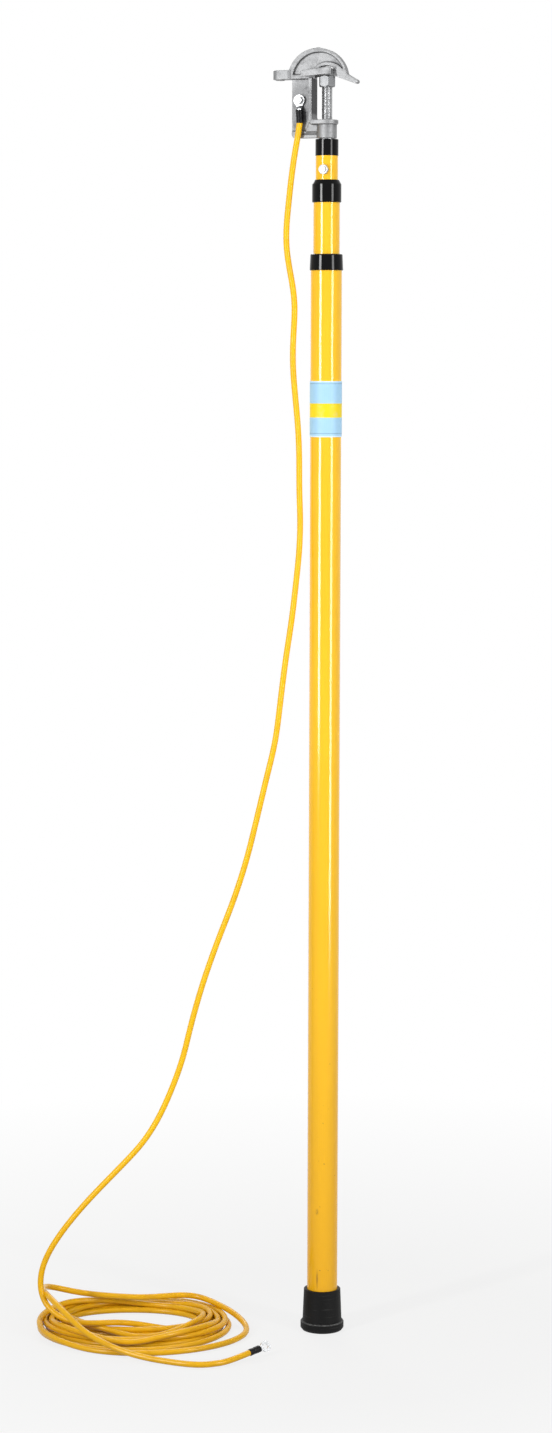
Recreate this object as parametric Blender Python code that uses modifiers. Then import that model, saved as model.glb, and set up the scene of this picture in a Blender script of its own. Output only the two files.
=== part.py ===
"""Telescopic discharge rod: three glass-fibre tubes, a screw clamp and its earth cable.

The rod stands on its boot. The origin is the centre of the boot's underside, +Z runs up the
rod, +X from the clamp's guide leg to its hook and -Y to the side of the cable lug. Metres.
"""
import math

import bmesh
import bpy
from mathutils import Matrix, Vector

# Clearances
GAP = 0.0003
SLIDE_CLEARANCE = 0.0005
JAW_CLEARANCE = 0.0006

# Tubes, each one sliding in the one below
LOWER_TUBE_RADIUS = 0.0225
LOWER_TUBE_WALL = 0.003
MID_TUBE_WALL = 0.0025
TOP_TUBE_WALL = 0.003
LOWER_TUBE_LENGTH = 1.577
MID_TUBE_LENGTH = 1.640
TOP_TUBE_LENGTH = 1.6375
MID_TRAVEL = 1.35
TOP_TRAVEL = 1.40

# Boot, plugs, collars and cap
BOOT_FLOOR = 0.008
BOOT_HEIGHT = 0.062
BOOT_WALL = 0.0044
BOOT_FLARE = 0.0019
BOOT_FLANGE_RADIUS = 0.0322
BOOT_FLANGE_HEIGHT = 0.0135
LOWER_PLUG_LENGTH = 0.037
PLUG_FLANGE = 0.005
PLUG_SPIGOT = 0.055
COLLAR_LIP = 0.003
LOWER_COLLAR_RADIUS = 0.0233
LOWER_COLLAR_HEIGHT = 0.0233
LOWER_COLLAR_FLARE = 0.0009
MID_COLLAR_RADIUS = 0.0211
MID_COLLAR_HEIGHT = 0.032
MID_COLLAR_CONE = 0.0062
TOP_CAP_RADIUS = 0.0166
TOP_CAP_HEIGHT = 0.0235
LABEL_BASE = 1.3264
LABEL_HEIGHT = 0.0804
LABEL_THICKNESS = 0.0005

# Lock buttons
BUTTON_RADIUS = 0.004
BUTTON_FLANGE_RADIUS = 0.0055
BUTTON_FLANGE = 0.002
BUTTON_DOME = 0.0012
BUTTON_POP = 0.0035
BUTTON_ABOVE_FLANGE = 0.027
SPRING_LENGTH = 0.006
SPRING_WIRE = 0.0004
SPRING_TURNS = 3.5

# Screw, its adapter, nuts and bolts
SCREW_RADIUS = 0.008
SCREW_DEPTH = 0.028
NECK_RADIUS = 0.005
RIVET_RADIUS = 0.0065
RIVET_HEIGHT = 0.0018
ADAPTER_LENGTH = 0.055
SCREW_WASHER_RADIUS = 0.0105
SCREW_WASHER = 0.0008
THRUST_NUT_FLATS = 0.0215
THRUST_NUT_HEIGHT = 0.0154
THRUST_NUT_TURN = math.radians(-5.4)
CROSS_BOLT_RADIUS = 0.004
CROSS_BOLT_BELOW_TUBE_TOP = 0.0403
CROSS_BOLT_TURN = math.radians(4)
CROSS_FLATS = 0.013
CROSS_HEAD = 0.0053
CROSS_NUT = 0.0065
JAW_WASHER_RADIUS = 0.009
JAW_WASHER = 0.0012

# Clamp casting, heights counted from its underside
HOOK_HEIGHT = 0.086
THROAT_CENTRE_X = 0.0
THROAT_HALF_WIDTH = 0.0168
THROAT_RISE = 0.0166
DOME_CENTRE_X = -0.0132
DOME_DROP = 0.0031
DOME_RADIUS = 0.0449
HOOK_HALF_DEPTH = 0.007
HOOK_WEB_HALF = 0.0027
POCKET_CENTRE = (-0.0110, -0.0036)
POCKET_RADIUS = 0.0398
POCKET_FLOOR = 0.0043
THROAT_BAND = 0.0215
THROAT_BAND_RIGHT = 0.0285
NUB = (0.0045, 0.0075, 0.0011)
BAR_DROP = 0.0014
HORN_TIP_X = 0.0443
HORN_TIP_DROP = 0.0068
HORN_TIP_RADIUS = 0.0029
EAR_END_X = -0.081
EAR_HALF_DEPTH = 0.0100
EAR_HEIGHT = 0.0133
EAR_HOLE_RADIUS = 0.005
EAR_BOSS_RADIUS = 0.0066
EAR_BOSS_DROP = 0.0013
LEG_LEFT_X = -0.0523
LEG_RIB_X = (-0.0241, -0.0191)
LEG_RIB_HALF = 0.014
LEG_WEB_HALF = 0.003
FLANGE_FILLET = 0.006
BOSS_RADIUS = 0.0142
BOSS_HEIGHT = 0.020
PLATE_THICKNESS = 0.006
PLATE_RADIUS = 0.0163
ARM_WEB_HALF = 0.0075
FOOT_BAR_HEIGHT = 0.0104
FOOT_BAR_HALF = 0.0048
FOOT_BAR_LEFT_X = -0.0523
FOOT_BAR_CORNER = 0.0055
FOOT_GROOVE = (0.0053, 0.0071)
FOOT_GROOVE_DEPTH = 0.0015

# Moving jaw
JAW_LEFT_X = -0.0345
JAW_RIGHT_X = 0.0108
JAW_BLOCK_X = (-0.0108, 0.0108)
JAW_ARM = 0.0038
JAW_FLOOR = 0.0047
JAW_END_LOW = (0.0010, 0.0040)
JAW_END_HIGH = (0.0097, 0.0145)
JAW_TRAVEL = 0.046

# Lugs, sleeves and their bolt
LUG_X = -0.0402
LUG_TILT = math.radians(4)
LUG_HEIGHT = 0.054
LUG_RING_RADIUS = 0.008
LUG_THICKNESS = 0.0025
LUG_HOLE_RADIUS = 0.0033
END_HOLE_RADIUS = 0.0042
NECK_START = 0.0060
NECK_END = 0.0122
NECK_WIDTH = 0.0088
BARREL_RADIUS = 0.0038
BARREL_END = 0.0225
SLEEVE_RADIUS = 0.0053
SLEEVE_END = 0.0326
LUG_BOLT_RADIUS = 0.003
LUG_BOLT_FLATS = 0.010
LUG_BOLT_HEAD = 0.004
LUG_NUT = 0.0045
LUG_WASHER_RADIUS = 0.0081
LUG_WASHER = 0.0012
BOLT_STICK_OUT = 0.0015

# Earth cable. It hangs in a plane turned a little about Z: along it, out of it, height.
CABLE_RADIUS = 0.0044
CABLE_SPACING = 0.0275
CABLE_TURN = math.radians(18)
CABLE_ROUTE = [
    (-0.0397, -0.0026, 1.7678), (-0.0427, -0.0026, 1.7508), (-0.0456, -0.0025, 1.7366),
    (-0.0514, -0.0022, 1.6941), (-0.0557, -0.0018, 1.6514), (-0.0585, -0.0015, 1.6201),
    (-0.0570, -0.0011, 1.5872), (-0.0526, -0.0008, 1.5658), (-0.0490, -0.0005, 1.5444),
    (-0.0453, -0.0002, 1.5229), (-0.0459, 0.0002, 1.4943), (-0.0480, 0.0007, 1.4584),
    (-0.0477, 0.0012, 1.4224), (-0.0438, 0.0019, 1.3793), (-0.0398, 0.0026, 1.3360),
    (-0.0382, 0.0033, 1.2926), (-0.0381, 0.0040, 1.2492), (-0.0364, 0.0048, 1.2056),
    (-0.0377, 0.0055, 1.1620), (-0.0427, 0.0065, 1.1110), (-0.0485, 0.0074, 1.0599),
    (-0.0572, 0.0085, 1.0013), (-0.0644, 0.0097, 0.9426), (-0.0717, 0.0109, 0.8837),
    (-0.0855, 0.0121, 0.8247), (-0.0994, 0.0133, 0.7655), (-0.1140, 0.0146, 0.7062),
    (-0.1331, 0.0158, 0.6467), (-0.1559, 0.0172, 0.5870), (-0.1766, 0.0185, 0.5272),
    (-0.1937, 0.0198, 0.4673), (-0.2085, 0.0212, 0.4071), (-0.2315, 0.0226, 0.3468),
    (-0.2465, 0.0233, 0.3166), (-0.2658, 0.0240, 0.2864), (-0.2933, 0.0248, 0.2561),
    (-0.3224, 0.0255, 0.2258), (-0.3507, 0.0262, 0.1954), (-0.3761, 0.0269, 0.1650),
    (-0.3978, 0.0277, 0.1345), (-0.4136, 0.0284, 0.1040), (-0.4190, 0.0290, 0.0790),
    (-0.4150, 0.0297, 0.0520), (-0.4100, 0.0301, 0.0360)]
COIL_ALONG = -0.281
COIL_OUT = 0.009
COIL_OUTER_RADIUS = 0.142
COIL_INNER_RADIUS = 0.0875
COIL_HEIGHT = 0.024
COIL_DEPTH_SHARE = 0.93
COIL_ROUNDING = 0.007
TAIL_ROUTE = [
    (-0.3215, 0.1395, 0.0045), (-0.3030, 0.1540, 0.0045), (-0.2710, 0.1655, 0.0045),
    (-0.2228, 0.1850, 0.0045), (-0.1740, 0.2010, 0.0045), (-0.1417, 0.1900, 0.0048)]
END_LUG_CENTRE = (-0.0820, 0.1360, 0.0130)
END_LUG_AHEAD = (0.767, -0.624, 0.150)
END_LUG_FACE = (0.566, 0.607, 0.557)

# Heights that follow from the sizes above
MID_TUBE_RADIUS = LOWER_TUBE_RADIUS - LOWER_TUBE_WALL - SLIDE_CLEARANCE
TOP_TUBE_RADIUS = MID_TUBE_RADIUS - MID_TUBE_WALL - SLIDE_CLEARANCE
LOWER_BORE = LOWER_TUBE_RADIUS - LOWER_TUBE_WALL
MID_BORE = MID_TUBE_RADIUS - MID_TUBE_WALL
TOP_BORE = TOP_TUBE_RADIUS - TOP_TUBE_WALL
LOWER_TUBE_BASE = BOOT_FLOOR + GAP
LOWER_TUBE_TOP = LOWER_TUBE_BASE + LOWER_TUBE_LENGTH
LOWER_PLUG_TOP = LOWER_TUBE_BASE + LOWER_PLUG_LENGTH
MID_PLUG_BASE = LOWER_PLUG_TOP + GAP
MID_TUBE_BASE = MID_PLUG_BASE + PLUG_FLANGE + GAP
MID_TUBE_TOP = MID_TUBE_BASE + MID_TUBE_LENGTH
TOP_PLUG_BASE = MID_PLUG_BASE + PLUG_FLANGE + PLUG_SPIGOT + GAP
TOP_TUBE_BASE = TOP_PLUG_BASE + PLUG_FLANGE + GAP
TOP_TUBE_TOP = TOP_TUBE_BASE + TOP_TUBE_LENGTH
TOP_CAP_TOP = TOP_TUBE_TOP + GAP + COLLAR_LIP
SCREW_WASHER_BASE = TOP_CAP_TOP + GAP
CASTING_BASE = SCREW_WASHER_BASE + SCREW_WASHER + GAP
HOOK_LEVEL = CASTING_BASE + HOOK_HEIGHT
THRUST_NUT_TOP = HOOK_LEVEL + 0.0020
JAW_BASE = THRUST_NUT_TOP + GAP
SCREW_BASE = TOP_TUBE_TOP - SCREW_DEPTH + GAP
LUG_LEVEL = CASTING_BASE + LUG_HEIGHT

PARTS = None
CUTTERS = None
MATERIALS = {}


def clear_scene():
    for old in list(bpy.data.objects):
        bpy.data.objects.remove(old, do_unlink=True)


def add_collection(name):
    collection = bpy.data.collections.new(name)
    bpy.context.scene.collection.children.link(collection)
    return collection


def material(name, colour, roughness, metallic=0.0):
    if name not in MATERIALS:
        made = bpy.data.materials.new(name)
        made.use_nodes = True
        shader = made.node_tree.nodes["Principled BSDF"]
        shader.inputs["Base Color"].default_value = (*colour, 1.0)
        shader.inputs["Roughness"].default_value = roughness
        shader.inputs["Metallic"].default_value = metallic
        MATERIALS[name] = made
    return MATERIALS[name]


def yellow_tube(name):
    return material(name, (0.93, 0.56, 0.03), 0.32)


def black_plastic(name):
    return material(name, (0.012, 0.012, 0.013), 0.25)


def cast_metal(name):
    return material(name, (0.56, 0.57, 0.57), 0.45, 0.9)


def zinc(name):
    return material(name, (0.70, 0.71, 0.70), 0.35, 1.0)


def yellow_pvc(name):
    return material(name, (0.88, 0.55, 0.02), 0.38)


def add_object(name, mesh):
    made = bpy.data.objects.new(name, mesh)
    PARTS.objects.link(made)
    return made


def as_cutter(piece):
    PARTS.objects.unlink(piece)
    CUTTERS.objects.link(piece)
    piece.hide_render = True
    piece.display_type = "WIRE"
    return piece


def combine(target, other, operation):
    """Join another solid to a piece, or cut it away, as a live Boolean."""
    step = target.modifiers.new(operation.lower() + "_" + other.name, "BOOLEAN")
    step.operation = operation
    step.solver = "EXACT"
    step.object = as_cutter(other)
    return target


def finish(piece, look, smooth_angle=35):
    """Give a piece its material and shade its round faces smooth."""
    evaluated = piece.evaluated_get(bpy.context.evaluated_depsgraph_get())
    mesh = bpy.data.meshes.new_from_object(evaluated)
    matrix = piece.matrix_world.copy()
    mesh.materials.clear()
    mesh.materials.append(look)
    mesh.shade_smooth()
    mesh.set_sharp_from_angle(angle=math.radians(smooth_angle))
    piece.modifiers.clear()
    piece.data = mesh
    piece.matrix_world = matrix
    return piece


def finish_raised(piece, look, height):
    """Finish a piece that was built near the origin and lift it to its place."""
    pieces = [step.object for step in piece.modifiers if step.type == "BOOLEAN"]
    finish(piece, look)
    for lifted in [piece] + pieces:
        lifted.matrix_world = Matrix.Translation((0, 0, height)) @ lifted.matrix_world
    return piece


def turned(name, profile, closed=False, steps=48):
    """Turn a profile of (radius, height) about Z. It runs down its outer side."""
    mesh = bpy.data.meshes.new(name)
    verts = [(radius, 0.0, height) for radius, height in profile]
    edges = [(i, i + 1) for i in range(len(verts) - 1)]
    if closed:
        edges.append((len(verts) - 1, 0))
    mesh.from_pydata(verts, edges, [])
    piece = add_object(name, mesh)
    screw = piece.modifiers.new("turn", "SCREW")
    screw.axis = "Z"
    screw.angle = math.tau
    screw.steps = steps
    screw.render_steps = steps
    screw.use_merge_vertices = True
    screw.merge_threshold = 0.00001
    return piece


def ring(name, outer, inner, base, top, steps=48):
    return turned(name, [(outer, top), (outer, base), (inner, base), (inner, top)], True, steps)


def rod(name, radius, base, top, steps=32):
    return turned(name, [(0.0, top), (radius, top), (radius, base), (0.0, base)], False, steps)


def box(name, low, high):
    mesh = bpy.data.meshes.new(name)
    shape = bmesh.new()
    bmesh.ops.create_cube(shape, size=1.0)
    size = [high[i] - low[i] for i in range(3)]
    middle = [(high[i] + low[i]) / 2 for i in range(3)]
    bmesh.ops.scale(shape, vec=size, verts=shape.verts)
    bmesh.ops.translate(shape, vec=middle, verts=shape.verts)
    shape.to_mesh(mesh)
    shape.free()
    return add_object(name, mesh)


def hexagon(name, flats, base, top, chamfer=0.0012):
    """A six-sided prism with corners on +X and -X, its far corners chamfered."""
    corner = flats / math.sqrt(3)
    mesh = bpy.data.meshes.new(name)
    shape = bmesh.new()
    bmesh.ops.create_cone(shape, cap_ends=True, segments=6, radius1=corner, radius2=corner,
                          depth=top - base, matrix=Matrix.Rotation(math.radians(30), 4, "Z"))
    bmesh.ops.rotate(shape, verts=shape.verts, cent=(0, 0, 0),
                     matrix=Matrix.Rotation(corner_turn(shape), 3, "Z"))
    bmesh.ops.translate(shape, vec=(0, 0, (top + base) / 2), verts=shape.verts)
    shape.to_mesh(mesh)
    shape.free()
    prism = add_object(name, mesh)
    middle = (top + base) / 2
    blank = turned(name + "_blank", [
        (0.0, top), (flats / 2, top), (corner + 0.0001, top - chamfer), (corner + 0.0001, middle),
        (corner + 0.0001, base + chamfer), (flats / 2, base), (0.0, base)], False, 36)
    return combine(prism, blank, "INTERSECT")


def corner_turn(shape):
    """The turn that brings the first corner of a prism to +X."""
    first = next(iter(shape.verts)).co
    return -math.atan2(first.y, first.x)


def arc(centre, radii, start, end, count):
    """Points on an ellipse's arc, angles in degrees."""
    points = []
    for i in range(count + 1):
        angle = math.radians(start + (end - start) * i / count)
        points.append((centre[0] + radii[0] * math.cos(angle), centre[1] + radii[1] * math.sin(angle)))
    return points


def outline(name, points, half, upright=True, level=0.0, hole=None):
    """A flat outline with thickness: in the XZ plane, or lying in XY at a level."""
    curve = bpy.data.curves.new(name, "CURVE")
    curve.dimensions = "2D"
    curve.fill_mode = "BOTH"
    curve.extrude = half
    for loop in (points, hole or []):
        if loop:
            spline = curve.splines.new("POLY")
            spline.points.add(len(loop) - 1)
            for place, (x, y) in zip(spline.points, loop):
                place.co = (x, y, 0.0, 1.0)
            spline.use_cyclic_u = True
    flat = add_object(name, curve)
    flat.matrix_world = Matrix.Rotation(math.pi / 2, 4, "X") if upright else Matrix.Translation((0, 0, level))
    return curve_to_mesh(flat)


def curve_to_mesh(flat):
    """Turn a curve object into a mesh object with welded caps."""
    name = flat.name
    bpy.context.view_layer.update()
    evaluated = flat.evaluated_get(bpy.context.evaluated_depsgraph_get())
    mesh = bpy.data.meshes.new_from_object(evaluated)
    shape = bmesh.new()
    shape.from_mesh(mesh)
    bmesh.ops.remove_doubles(shape, verts=shape.verts, dist=0.000001)
    bmesh.ops.recalc_face_normals(shape, faces=shape.faces)
    bmesh.ops.transform(shape, matrix=flat.matrix_world, verts=shape.verts)
    shape.to_mesh(mesh)
    shape.free()
    bpy.data.objects.remove(flat, do_unlink=True)
    return add_object(name, mesh)


def tube_along(name, points, radius, resolution=2):
    """A round solid along a list of points."""
    curve = bpy.data.curves.new(name, "CURVE")
    curve.dimensions = "3D"
    curve.bevel_depth = radius
    curve.bevel_resolution = resolution
    curve.use_fill_caps = True
    spline = curve.splines.new("POLY")
    spline.points.add(len(points) - 1)
    for place, point in zip(spline.points, points):
        place.co = (*point, 1.0)
    return curve_to_mesh(add_object(name, curve))


def smooth_path(route, spacing):
    """Points at an even spacing on a smooth curve through a route's points."""
    dense = []
    ends = [2 * route[0] - route[1]] + list(route) + [2 * route[-1] - route[-2]]
    for before, start, stop, after in zip(ends, ends[1:], ends[2:], ends[3:]):
        for i in range(24):
            t = i / 24
            dense.append(0.5 * (2 * start + (stop - before) * t
                                + (2 * before - 5 * start + 4 * stop - after) * t * t
                                + (3 * start - before - 3 * stop + after) * t ** 3))
    dense.append(route[-1])
    lengths = [0.0]
    for a, b in zip(dense, dense[1:]):
        lengths.append(lengths[-1] + (b - a).length)
    count = max(2, round(lengths[-1] / spacing))
    points = []
    at = 0
    for i in range(count + 1):
        goal = lengths[-1] * i / count
        while at < len(lengths) - 2 and lengths[at + 1] < goal:
            at += 1
        share = (goal - lengths[at]) / (lengths[at + 1] - lengths[at])
        points.append(dense[at].lerp(dense[at + 1], share))
    return points


def turn_about_z(piece, angle):
    piece.matrix_world = Matrix.Rotation(angle, 4, "Z") @ piece.matrix_world
    return piece


def point_minus_y(piece, centre):
    """Move a piece made on +Z so that its +Z end looks along -Y from a centre."""
    piece.matrix_world = Matrix.Translation(centre) @ Matrix.Rotation(math.pi / 2, 4, "X")
    return piece


def cable_point(along, out, height):
    """A point in the plane in which the cable hangs."""
    return Vector((along * math.cos(CABLE_TURN) + out * math.sin(CABLE_TURN),
                   along * math.sin(CABLE_TURN) - out * math.cos(CABLE_TURN), height))


def make_boot():
    """Rubber boot with a rolled flange, pushed over the tube's lower end."""
    bore = LOWER_TUBE_RADIUS + GAP
    upper = bore + BOOT_WALL
    profile = [(bore, BOOT_HEIGHT), (upper - 0.0006, BOOT_HEIGHT), (upper, BOOT_HEIGHT - 0.0006),
               (upper + BOOT_FLARE, BOOT_FLANGE_HEIGHT + 0.001),
               (BOOT_FLANGE_RADIUS - 0.0012, BOOT_FLANGE_HEIGHT),
               (BOOT_FLANGE_RADIUS, BOOT_FLANGE_HEIGHT - 0.0015), (BOOT_FLANGE_RADIUS, 0.0035),
               (BOOT_FLANGE_RADIUS - 0.0026, 0.0), (0.0, 0.0)]
    profile = [(0.0, BOOT_FLOOR), (bore, BOOT_FLOOR)] + profile
    boot = turned("foot_boot", profile)
    finish(boot, material("boot_rubber", (0.018, 0.018, 0.018), 0.6))


def make_tube(name, radius, wall, base, top, hole_levels):
    tube = ring(name, radius, radius - wall, base, top)
    for i, level in enumerate(hole_levels):
        drill = rod("%s_hole_%d" % (name, i), BUTTON_RADIUS + GAP, radius - 2 * wall, radius + wall, 16)
        drill.matrix_world = Matrix.Translation((0, 0, level)) @ Matrix.Rotation(-math.pi / 2, 4, "X")
        combine(tube, drill, "DIFFERENCE")
    return tube


def make_plug(name, outer, bore, base, button_reach):
    """Stepped plug: a flange under the tube's end and a spigot with the button's pocket."""
    flange_top = base + PLUG_FLANGE
    spigot_top = flange_top + PLUG_SPIGOT
    spigot = bore - GAP
    chamfer = 0.001
    plug = turned(name, [
        (0.0, spigot_top), (spigot - chamfer, spigot_top), (spigot, spigot_top - chamfer),
        (spigot, flange_top), (outer, flange_top), (outer, base + chamfer),
        (outer - chamfer, base), (0.0, base)])
    floor = button_reach - SPRING_LENGTH - GAP
    pocket = rod(name + "_pocket", BUTTON_FLANGE_RADIUS + GAP, floor, outer * 1.5, 24)
    level = flange_top + BUTTON_ABOVE_FLANGE
    pocket.matrix_world = Matrix.Translation((0, 0, level)) @ Matrix.Rotation(-math.pi / 2, 4, "X")
    combine(plug, pocket, "DIFFERENCE")
    return finish(plug, material(name + "_nylon", (0.75, 0.74, 0.70), 0.5))


def make_lock(name, own_bore, outer_bore, base):
    """Sprung button, pressed in by the bore of the tube around it."""
    level = base + PLUG_FLANGE + BUTTON_ABOVE_FLANGE
    flange_front = own_bore - BUTTON_POP
    flange_back = flange_front - BUTTON_FLANGE
    tip = outer_bore - GAP
    place = Matrix.Translation((0, 0, level)) @ Matrix.Rotation(-math.pi / 2, 4, "X")
    button = turned(name + "_lock_button", [
        (0.0, tip), (BUTTON_RADIUS * 0.6, tip - BUTTON_DOME * 0.35),
        (BUTTON_RADIUS, tip - BUTTON_DOME), (BUTTON_RADIUS, flange_front),
        (BUTTON_FLANGE_RADIUS, flange_front), (BUTTON_FLANGE_RADIUS, flange_back),
        (0.0, flange_back)], False, 24)
    button.matrix_world = place
    finish(button, material(name + "_lock_button_brass", (0.75, 0.55, 0.22), 0.3, 1.0))
    coil = []
    per_turn = 10
    reach = BUTTON_RADIUS - SPRING_WIRE
    start = flange_back - SPRING_LENGTH + SPRING_WIRE
    rise = SPRING_LENGTH - 2 * SPRING_WIRE - GAP
    count = int(SPRING_TURNS * per_turn)
    for i in range(count + 1):
        angle = math.tau * i / per_turn
        coil.append(Vector((reach * math.cos(angle), reach * math.sin(angle), start + rise * i / count)))
    coil = [place @ point for point in coil]
    finish(tube_along(name + "_lock_spring", coil, SPRING_WIRE, 1), zinc(name + "_lock_spring_steel"))


def make_lower_section():
    lock_level = MID_PLUG_BASE + PLUG_FLANGE + BUTTON_ABOVE_FLANGE + MID_TRAVEL
    tube = make_tube("lower_tube", LOWER_TUBE_RADIUS, LOWER_TUBE_WALL, LOWER_TUBE_BASE,
                     LOWER_TUBE_TOP, [lock_level])
    finish(tube, yellow_tube("lower_tube_paint"))
    plug = turned("lower_plug", [
        (0.0, LOWER_PLUG_TOP), (LOWER_BORE - GAP - 0.001, LOWER_PLUG_TOP),
        (LOWER_BORE - GAP, LOWER_PLUG_TOP - 0.001), (LOWER_BORE - GAP, LOWER_TUBE_BASE),
        (0.0, LOWER_TUBE_BASE)])
    finish(plug, material("lower_plug_nylon", (0.75, 0.74, 0.70), 0.5))
    top = LOWER_TUBE_TOP + GAP + COLLAR_LIP
    base = top - LOWER_COLLAR_HEIGHT
    bore = LOWER_TUBE_RADIUS + GAP
    collar = turned("lower_collar", [
        (MID_TUBE_RADIUS + SLIDE_CLEARANCE, top), (LOWER_COLLAR_RADIUS - 0.0012, top),
        (LOWER_COLLAR_RADIUS - 0.0003, top - 0.0004), (LOWER_COLLAR_RADIUS, top - 0.0014),
        (LOWER_COLLAR_RADIUS + LOWER_COLLAR_FLARE, base + 0.0006),
        (LOWER_COLLAR_RADIUS + LOWER_COLLAR_FLARE - 0.0006, base), (bore, base),
        (bore, LOWER_TUBE_TOP + GAP), (MID_TUBE_RADIUS + SLIDE_CLEARANCE, LOWER_TUBE_TOP + GAP)], True)
    finish(collar, black_plastic("lower_collar_plastic"))
    band = ring("label_band", LOWER_TUBE_RADIUS + GAP + LABEL_THICKNESS, LOWER_TUBE_RADIUS + GAP,
                LABEL_BASE, LABEL_BASE + LABEL_HEIGHT)
    finish(band, material("label_film", (0.42, 0.66, 0.84), 0.35))


def make_mid_section():
    button_level = MID_PLUG_BASE + PLUG_FLANGE + BUTTON_ABOVE_FLANGE
    lock_level = TOP_PLUG_BASE + PLUG_FLANGE + BUTTON_ABOVE_FLANGE + TOP_TRAVEL
    tube = make_tube("mid_tube", MID_TUBE_RADIUS, MID_TUBE_WALL, MID_TUBE_BASE, MID_TUBE_TOP,
                     [button_level, lock_level])
    finish(tube, yellow_tube("mid_tube_paint"))
    top = MID_TUBE_TOP + GAP + COLLAR_LIP
    base = top - MID_COLLAR_HEIGHT
    bore = MID_TUBE_RADIUS + GAP
    mouth = TOP_TUBE_RADIUS + SLIDE_CLEARANCE
    collar = turned("mid_collar", [
        (mouth, top), (mouth + 0.0012, top), (MID_COLLAR_RADIUS, top - MID_COLLAR_CONE),
        (MID_COLLAR_RADIUS, base + 0.0008), (MID_COLLAR_RADIUS - 0.0008, base), (bore, base),
        (bore, MID_TUBE_TOP + GAP), (mouth, MID_TUBE_TOP + GAP)], True)
    finish(collar, black_plastic("mid_collar_plastic"))
    make_plug("mid_plug", MID_TUBE_RADIUS, MID_BORE, MID_PLUG_BASE, MID_BORE - BUTTON_POP - BUTTON_FLANGE)
    make_lock("mid", MID_BORE, LOWER_BORE, MID_PLUG_BASE)


def make_top_section():
    button_level = TOP_PLUG_BASE + PLUG_FLANGE + BUTTON_ABOVE_FLANGE
    tube = make_tube("top_tube", TOP_TUBE_RADIUS, TOP_TUBE_WALL, TOP_TUBE_BASE, TOP_TUBE_TOP,
                     [button_level])
    bolt_level = TOP_TUBE_TOP - CROSS_BOLT_BELOW_TUBE_TOP
    combine(tube, cross_drill("top_tube_cross_hole", bolt_level), "DIFFERENCE")
    finish(tube, yellow_tube("top_tube_paint"))
    make_plug("top_plug", TOP_TUBE_RADIUS, TOP_BORE, TOP_PLUG_BASE, TOP_BORE - BUTTON_POP - BUTTON_FLANGE)
    make_lock("top", TOP_BORE, MID_BORE, TOP_PLUG_BASE)
    base = TOP_CAP_TOP - TOP_CAP_HEIGHT
    bore = TOP_TUBE_RADIUS + GAP
    hole = SCREW_RADIUS + GAP
    cap = turned("top_cap", [
        (hole, TOP_CAP_TOP), (TOP_CAP_RADIUS - 0.0006, TOP_CAP_TOP), (TOP_CAP_RADIUS, TOP_CAP_TOP - 0.0006),
        (TOP_CAP_RADIUS, base), (bore, base), (bore, TOP_TUBE_TOP + GAP), (hole, TOP_TUBE_TOP + GAP)], True)
    finish(cap, black_plastic("top_cap_plastic"))
    adapter = turned("screw_adapter", [
        (0.0, TOP_TUBE_TOP - SCREW_DEPTH), (SCREW_RADIUS + GAP, TOP_TUBE_TOP - SCREW_DEPTH),
        (SCREW_RADIUS + GAP, TOP_TUBE_TOP), (TOP_BORE - GAP, TOP_TUBE_TOP),
        (TOP_BORE - GAP, TOP_TUBE_TOP - ADAPTER_LENGTH), (0.0, TOP_TUBE_TOP - ADAPTER_LENGTH)])
    combine(adapter, cross_drill("screw_adapter_cross_hole", bolt_level), "DIFFERENCE")
    finish(adapter, zinc("adapter_steel"))
    make_cross_bolt(bolt_level)
    make_screw()


def cross_drill(name, level):
    reach = TOP_TUBE_RADIUS * 1.5
    drill = rod(name, CROSS_BOLT_RADIUS + GAP, -reach, reach, 16)
    drill.matrix_world = Matrix.Translation((0, 0, level)) @ Matrix.Rotation(math.pi / 2, 4, "X")
    return turn_about_z(drill, CROSS_BOLT_TURN)


def make_cross_bolt(level):
    """Through bolt that pins the screw's adapter in the top tube."""
    seat = TOP_TUBE_RADIUS + GAP
    bolt = hexagon("cross_bolt", CROSS_FLATS, -seat - CROSS_HEAD, -seat)
    shank = rod("cross_bolt_shank", CROSS_BOLT_RADIUS, -seat - CROSS_HEAD / 2,
                seat + CROSS_NUT + BOLT_STICK_OUT, 16)
    combine(bolt, shank, "UNION")
    turn_about_z(point_minus_y(bolt, (0, 0, level)), CROSS_BOLT_TURN)
    shank.matrix_world = bolt.matrix_world
    for step in bolt.modifiers:
        step.object.matrix_world = bolt.matrix_world
    finish(bolt, zinc("cross_bolt_zinc"))
    nut = hexagon("cross_nut", CROSS_FLATS, seat, seat + CROSS_NUT)
    combine(nut, rod("cross_nut_hole", CROSS_BOLT_RADIUS + GAP, 0.0, seat * 2, 16), "DIFFERENCE")
    turn_about_z(point_minus_y(nut, (0, 0, level)), CROSS_BOLT_TURN)
    for step in nut.modifiers:
        step.object.matrix_world = nut.matrix_world
    finish(nut, zinc("cross_nut_zinc"))


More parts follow.
